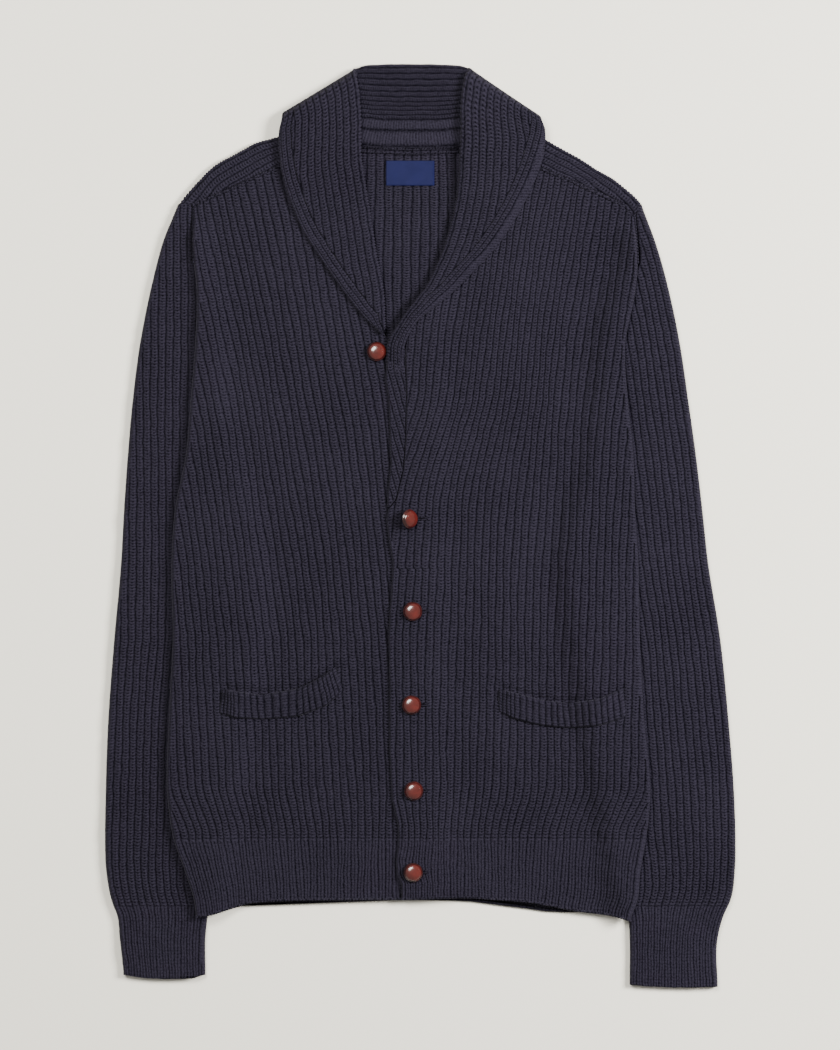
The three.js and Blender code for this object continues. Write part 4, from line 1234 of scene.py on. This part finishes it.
def welt_wall(side):
    """A pocket's welt, a ribbed band that stands on the front."""
    bottom, top = (np.array(POCKETS[side][name], float) for name in ("bottom", "top"))
    ribs = rib_columns(0, WELT_RIBS)[None, :]
    share = ribs / WELT_RIBS * (len(bottom) - 1)
    low, high = edge_points(bottom, share), edge_points(top, share)
    height = float(np.linalg.norm(top - bottom, axis=1).mean())
    rows = courses(0, height, 2.6)[:, None]
    number = np.arange(len(rows))[:, None]
    ends = np.clip(np.minimum(number, len(rows) - 1 - number) / 2, 0, 1)
    off = np.maximum(off_crest(ribs), 0.45) ** 0.7
    place = ((rows - 1.3 * off * ends + 0.6 * ends) / height)[..., None]
    flat = low + (high - low) * np.clip(place, 0, 1)
    x, y = flat[..., 0], flat[..., 1]
    rise = rows / height

    def base(x, y, share):
        end = np.minimum(share, len(bottom) - 1 - share) / 0.8
        held = WELT_STAND * rise * smooth(end) - WELT_SINK * (1 - smooth(end)) - WELT_LEAN * (1 - rise)
        return FRONT_UNDER + lift(x, y) + WELT_LEVEL + held

    edge = np.minimum(rows, height - rows)
    dome = np.sqrt(1 - np.clip(1 - edge / 1.1, 0, 1) ** 2)
    side_edge = np.minimum(share, share[:, ::-1])
    dome = dome * np.sqrt(1 - np.clip(1 - side_edge / 0.08, 0, 1) ** 2)
    outer = stacked(x, y, base(x, y, share) + 0.2 + (WELT_WALL - 0.2) * dome)
    share_in = np.linspace(1, 0, 12)[None, :] * (len(bottom) - 1)
    low, high = edge_points(bottom, share_in), edge_points(top, share_in)
    flat = low + (high - low) * (rows / height)[..., None]
    x, y = flat[..., 0], flat[..., 1]
    inner = stacked(x, y, base(x, y, share_in))
    wall = Wall()
    shown = np.clip(edge / 1.5, 0, 1) + 0 * off
    course = number * 0.5 + 0 * off
    points = np.concatenate([outer, inner], axis=1)
    outward = np.concatenate([stacked(0 * course, 0 * course, 1 + 0 * course), 0 * inner], axis=1)
    plain = stacked(0.5 + 0 * x, number * 0.5 + 0 * x, 0 * x)
    marks = np.concatenate([stacked(off + 0 * course, course, shown), plain], axis=1)
    loops = wall.add_rows(points, outward, marks)
    wall.join_rows(loops)
    wall.close_end(loops[0], outer.shape[1])
    wall.close_end(loops[-1], outer.shape[1])
    return wall


def grow(piece, tree, inputs):
    """Runs a node tree on a piece and keeps its result as the piece's own mesh."""
    modifier = piece.modifiers.new("growth", "NODES")
    modifier.node_group = tree
    for item in tree.interface.items_tree:
        if item.item_type == "SOCKET" and item.in_out == "INPUT" and item.name in inputs:
            modifier[item.identifier] = inputs[item.name]
    bpy.context.view_layer.update()
    result = piece.evaluated_get(bpy.context.evaluated_depsgraph_get())
    mesh = bpy.data.meshes.new_from_object(result)
    piece.modifiers.remove(modifier)
    old = piece.data
    piece.data = mesh
    bpy.data.meshes.remove(old)
    mesh.name = piece.name
    return piece


def knit_piece(name, node, wall, area, rib_height=RIB_HEIGHT, ripple=0.5):
    piece = wall.piece(name)
    grow(piece, RELIEF, {
        "Rib height": rib_height * MM, "Stitch height": STITCH_HEIGHT * MM, "Unevenness": 0.25 * MM,
        "Ripple": ripple * MM, "Yarn": KNIT,
    })
    piece.data.shade_smooth()
    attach(piece, "root")
    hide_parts(node)
    return piece


def stitch_row_tree():
    """Lays small stitches end to end along a line, each turned a little from the line."""
    inputs = (("Spacing", "Float"), ("Stitch size", "Vector"), ("Slant", "Float"))
    tree, recipe, given = open_tree("stitch_row", inputs)
    line = recipe.add("GeometryNodeMeshToCurve", sockets={0: given["Geometry"]})
    points = recipe.add("GeometryNodeResampleCurve", {"mode": "LENGTH"}, {"Curve": line.outputs[0]})
    recipe.feed(points.inputs["Length"], given["Spacing"])
    tangent = recipe.add("GeometryNodeInputTangent").outputs[0]
    upright = recipe.add("FunctionNodeAlignEulerToVector", {"axis": "X", "pivot_axis": "Z"}, {"Vector": tangent})
    limits = {2: -JITTER, 3: JITTER, "Seed": 7}
    jitter = recipe.add("FunctionNodeRandomValue", {"data_type": "FLOAT"}, limits)
    lean = Value(recipe, given["Slant"]) + Value(recipe, jitter.outputs[1])
    turned = recipe.add("FunctionNodeRotateEuler", {"space": "LOCAL"}, {"Rotation": upright.outputs[0]})
    recipe.feed(turned.inputs["Rotate By"], recipe.join(0.0, 0.0, lean))
    stitch = recipe.add("GeometryNodeMeshUVSphere", sockets={"Segments": 8, "Rings": 5, "Radius": 0.5})
    rows = recipe.add("GeometryNodeInstanceOnPoints", sockets={"Points": points.outputs[0]})
    recipe.feed(rows.inputs["Instance"], stitch.outputs["Mesh"])
    recipe.feed(rows.inputs["Rotation"], turned.outputs[0])
    recipe.feed(rows.inputs["Scale"], given["Stitch size"])
    close_tree(recipe, rows.outputs[0], given["Yarn"])
    return tree


def stitch_row(name, lines, spacing, size, slant=0.0):
    """A row of stitches along each of the lines, given in millimetres."""
    mesh = bpy.data.meshes.new(name)
    points, edges = [], []
    for line in lines:
        edges += [(len(points) + i, len(points) + i + 1) for i in range(len(line) - 1)]
        points += [tuple(MM * value for value in point) for point in line]
    mesh.from_pydata(points, edges, [])
    made = bpy.data.objects.new(name, mesh)
    bpy.context.scene.collection.objects.link(made)
    grow(made, STITCHES, {
        "Spacing": spacing * MM, "Stitch size": [value * MM for value in size], "Slant": slant, "Yarn": KNIT,
    })
    made.data.shade_smooth()
    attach(made, "root")
    return made


def lathe(profile, sides):
    """Points and faces of a shape turned about Z, open at neither end."""
    points = [(0, 0, profile[0][1])]
    faces = []
    for radius, height in profile[1:-1]:
        for side in range(sides):
            angle = 2 * math.pi * side / sides
            points.append((radius * math.cos(angle), radius * math.sin(angle), height))
    points.append((0, 0, profile[-1][1]))
    rings = len(profile) - 2
    for side in range(sides):
        after = (side + 1) % sides
        faces.append((0, 1 + after, 1 + side))
        last = 1 + (rings - 1) * sides
        faces.append((len(points) - 1, last + side, last + after))
        for ring in range(rings - 1):
            first = 1 + ring * sides
            faces.append((first + side, first + after, first + sides + after, first + sides + side))
    return points, faces


def button_piece(number, x, y, fastened, tilt):
    """A leather button: a domed cap with a rolled rim, on a short shank of thread."""
    radius, height, rim = BUTTON["radius"], BUTTON["height"], BUTTON["rim"]
    profile = [(0, 0.3), (3.0, 0.2), (radius - 1.6, 0)]
    profile += [(radius - 0.7, 0.25), (radius - 0.1, 0.8), (radius, 1.3)]
    profile += [(radius - 0.15, 1.8), (radius - 0.5, rim), (radius - 0.95, rim + 0.25)]
    for step in range(1, 14):
        angle = step / 14 * math.pi / 2
        rise = rim + 0.25 + (height - rim - 0.25) * math.sin(angle) ** 0.9
        profile.append(((radius - 1.0) * math.cos(angle), rise))
    profile.append((0, height))
    points, faces = lathe(profile, 48)
    mesh = bpy.data.meshes.new(f"leather_button_{number}")
    mesh.from_pydata(points, [], faces)
    # The edge mark is where painted shade darkens the cap towards its rim.
    edge = mesh.attributes.new("edge", "FLOAT", "POINT")
    away = [math.hypot(px, py) / radius for px, py, pz in points]
    edge.data.foreach_set("value", [smooth((share - 0.7) / 0.3) for share in away])
    raised = BUTTON_SEAT[fastened] + 0.56 * (radius - BUTTON["hollow"]) * math.sin(math.radians(tilt))
    turn = Matrix.Rotation(math.radians(tilt), 4, "Y") @ Matrix.Rotation(0.7 * number, 4, "Z")
    mesh.transform(Matrix.Scale(MM, 4) @ Matrix.Translation((x, y, raised)) @ turn)
    mesh.materials.append(LEATHER)
    mesh.shade_smooth()
    made = bpy.data.objects.new(f"leather_button_{number}", mesh)
    bpy.context.scene.collection.objects.link(made)
    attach(made, "root")
    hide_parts(f"button_{number}")
    shank_points, shank_faces = lathe([(0, 0), (1.3, 0), (1.05, 0.6), (1.05, 2.4), (1.3, 3.4), (0, 3.4)], 16)
    shank = bpy.data.meshes.new(f"button_shank_{number}")
    shank.from_pydata(shank_points, [], shank_faces)
    tall = (raised + rim / 2 - BUTTON_FOOT[fastened]) / 3.4
    stretch = Matrix.Diagonal((1, 1, tall, 1))
    shank.transform(Matrix.Scale(MM, 4) @ Matrix.Translation((x, y, BUTTON_FOOT[fastened])) @ stretch)
    shank.materials.append(KNIT)
    shank.shade_smooth()
    post = bpy.data.objects.new(f"button_shank_{number}", shank)
    bpy.context.scene.collection.objects.link(post)
    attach(post, "root")
    return made


def label_piece():
    """The woven neck label: a thin ribbon with rounded edges, a slight wave and bow, and nothing on it."""
    (left, right), (low, high) = LABEL["x"], LABEL["y"]
    across = np.linspace(left, right, 45)[None, :]
    along = np.linspace(low, high, 24)[:, None]
    thick = LABEL["high"] - LABEL["low"]
    wave = 0.12 * np.sin(across / 3.1 + along / 9) * np.sin(along / 5)
    bow = 0.5 * np.sin((along - low) / (high - low) * np.pi) * across / 40
    edge = np.minimum(np.minimum(across - left, right - across), np.minimum(along - low, high - along))
    rounded = thick * np.sqrt(np.clip(edge / 0.6, 0, 1)) * 0.5
    middle = (LABEL["low"] + LABEL["high"]) / 2 + wave
    top = stacked(across + bow * 0.4, along + 0 * across, middle + rounded)
    under = stacked(across + bow * 0.4, along + 0 * across, middle - rounded - 0.02)[:, ::-1]
    wall = Wall()
    points = np.concatenate([top, under], axis=1)
    loops = wall.add_rows(points, 0 * points, 0 * points)
    wall.join_rows(loops)
    wall.close_end(loops[0], top.shape[1])
    wall.close_end(loops[-1], top.shape[1])
    made = wall.piece("woven_label")
    made.data.materials.append(LABEL_BLUE)
    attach(made, "root")
    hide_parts("neck_label")
    return made


def band_area(bands):
    """Flat area of a lying piece in square metres, from the width of its rows."""
    area = 0
    for band in bands:
        levels = band["levels"]
        width = band["high"](levels) - band["low"](levels)
        area += abs(np.trapz(width, levels))
    return area * MM * MM


RELIEF = relief_tree()
STITCHES = stitch_row_tree()
KNIT = knit_material()
LEATHER = leather_material()
LABEL_BLUE = label_material()


def body_pieces():
    """The back, which lies on the floor, and the two fronts on it."""
    bands = back_band()
    knit_piece("back_knit", "back", lying_wall(bands), band_area(bands))
    for side, bands in (("right", front_right()), ("left", front_left())):
        wall = lying_wall(bands)
        front = f"front_{side}"
        knit_piece(f"{front}_knit", front, wall, band_area(bands))


def arm_and_pocket_pieces(side):
    """One side's sleeve, the saddle over its shoulder and its pocket's welt."""
    levels = np.linspace(-420, 294, 60)
    around = 2 * np.abs(side_value(side, "outer", levels) - side_value(side, "inner", levels))
    area = float(np.trapz(around, levels)) * MM * MM
    knit_piece(f"sleeve_{side}_knit", f"sleeve_{side}", sleeve_wall(side), area)
    saddle = folded_wall(saddle_table(side), (0, 7, 14, 21), 4, 6.5, 0, STITCH["body"])
    name = f"saddle_{side}"
    knit_piece(f"{name}_knit", name, saddle, SADDLE_AREA, 1.0, 0.2)
    name = f"pocket_welt_{side}"
    knit_piece(f"{name}_knit", name, welt_wall(side), None, 1.0, 0.1)


def collar_pieces():
    """The folded collar, and its narrow end along the front edge."""
    collar = folded_wall(COLLAR, STAND_VALLEYS, FALL_RIBS, FALL_RIB, 2, STITCH["collar"])
    knit_piece("collar_knit", "collar", collar, COLLAR_AREA)
    bands = tongue_band()
    wall = lying_wall(bands)
    knit_piece(
        "collar_tongue_knit", "collar_tongue", wall, band_area(bands), 0.9, 0.1,
    )


def shoulder_seam(side):
    seam = [(x, y - 0.1, 6.7) for x, y in SHOULDERS[side]["seam"]]
    stitch_row(f"shoulder_seam_{side}", [seam], *SHOULDER_STITCH)


def armhole_rows(side, inwards):
    """The seam along the armhole, and the turned-in edge that closes the space under it."""
    seam = [(float(side_value(side, "body", y)) - 0.3 * inwards, y, z) for y, z in ARMHOLE_SEAM]
    stitch_row(f"armhole_seam_{side}", [seam], *ARMHOLE_STITCH)
    turning = []
    for level in (0, 0.25, 0.5, 0.75, 1):
        turning.append([
            (float(side_value(side, "body", y)) + inset * inwards, y, low + level * (high - low))
            for y, inset, low, high in ARMHOLE_TURNING
        ])
    stitch_row(f"armhole_turning_{side}", turning, *TURNING_STITCH)


def hem_edge(side):
    """The light rolled edge along the bottom of a front."""
    hem = HEMS[side]
    line = []
    for x in np.linspace(hem[0][0] + 1, hem[-1][0] - 1, 60):
        y = float(curved(hem, x))
        over = float(overlap_rise(x)) if side == "left" else 0
        line.append((x, y + 0.4, FRONT_UNDER + 3.7 + float(lift(x, y)) + over))
    stitch_row(f"hem_edge_{side}", [line], *HEM_STITCH)


def neck_linking():
    """Two rows of linking stitches just under the collar's seam, inside the back of the neck."""
    across = np.linspace(-58, 40, 24)
    rows = [[(x, straight(NECK_LINE, x) - drop, 6.6) for x in across] for drop in (1.5, 5.5)]
    stitch_row("neck_linking", rows, *NECK_STITCH)


def buttonhole_stitches():
    """Stitches along both lips of each buttonhole, beside the button that is done up in it."""
    lips = []
    for x, y, fastened, tilt in BUTTONS:
        for lip in (1.5, -0.9) if fastened else ():
            lips.append([
                (x + 6 + t * (BUTTONHOLE_END - x - 6), y + lip * math.sin(0.4 + 2.4 * t) + 0.2, 10.4)
                for t in (0, 0.25, 0.5, 0.75, 1)
            ])
    stitch_row("buttonhole_stitches", lips, *BUTTONHOLE_STITCH)


def floor_piece():
    reach, level = FLOOR["reach"], FLOOR["level"]
    corners = [(x * reach, y * reach, level) for x, y in ((-1, -1), (1, -1), (1, 1), (-1, 1))]
    mesh = bpy.data.meshes.new("floor")
    mesh.from_pydata(corners, [], [(0, 1, 2, 3)])
    mesh.materials.append(floor_material())
    made = bpy.data.objects.new("floor", mesh)
    bpy.context.scene.collection.objects.link(made)


def lamp(name, power, size, place, glint):
    """A soft rectangular lamp that faces the middle of the garment."""
    data = bpy.data.lights.new(name, "AREA")
    data.energy = power
    data.shape = "RECTANGLE"
    data.size, data.size_y = size
    data.color = LAMP_COLOUR
    made = bpy.data.objects.new(name, data)
    bpy.context.scene.collection.objects.link(made)
    made.location = place
    made.rotation_euler = (-Vector(place)).to_track_quat("-Z", "Y").to_euler()
    made.visible_glossy = glint


def studio():
    """The two lamps and the even light of the room."""
    for name, measures in LAMPS.items():
        lamp(name, *measures)
    world = bpy.data.worlds.new("studio")
    world.use_nodes = True
    bpy.context.scene.world = world
    background = world.node_tree.nodes["Background"]
    background.inputs["Color"].default_value = ROOM_COLOUR
    background.inputs["Strength"].default_value = ROOM_STRENGTH


def camera_above():
    lens = bpy.data.cameras.new("camera")
    lens.sensor_width = 36
    lens.lens = 36 * (CAMERA["distance"] - 0.008) / CAMERA["long_side"]
    camera = bpy.data.objects.new("camera", lens)
    camera.location = (CAMERA["x"], CAMERA["y"], CAMERA["distance"])
    bpy.context.scene.collection.objects.link(camera)
    bpy.context.scene.camera = camera


body_pieces()
for side in ("right", "left"):
    arm_and_pocket_pieces(side)
collar_pieces()
for number, (x, y, fastened, tilt) in enumerate(BUTTONS, start=1):
    button_piece(number, x, y, fastened, tilt)
label_piece()
for side, inwards in (("right", 1), ("left", -1)):
    shoulder_seam(side)
    armhole_rows(side, inwards)
    hem_edge(side)
neck_linking()
buttonhole_stitches()
floor_piece()
studio()
camera_above()
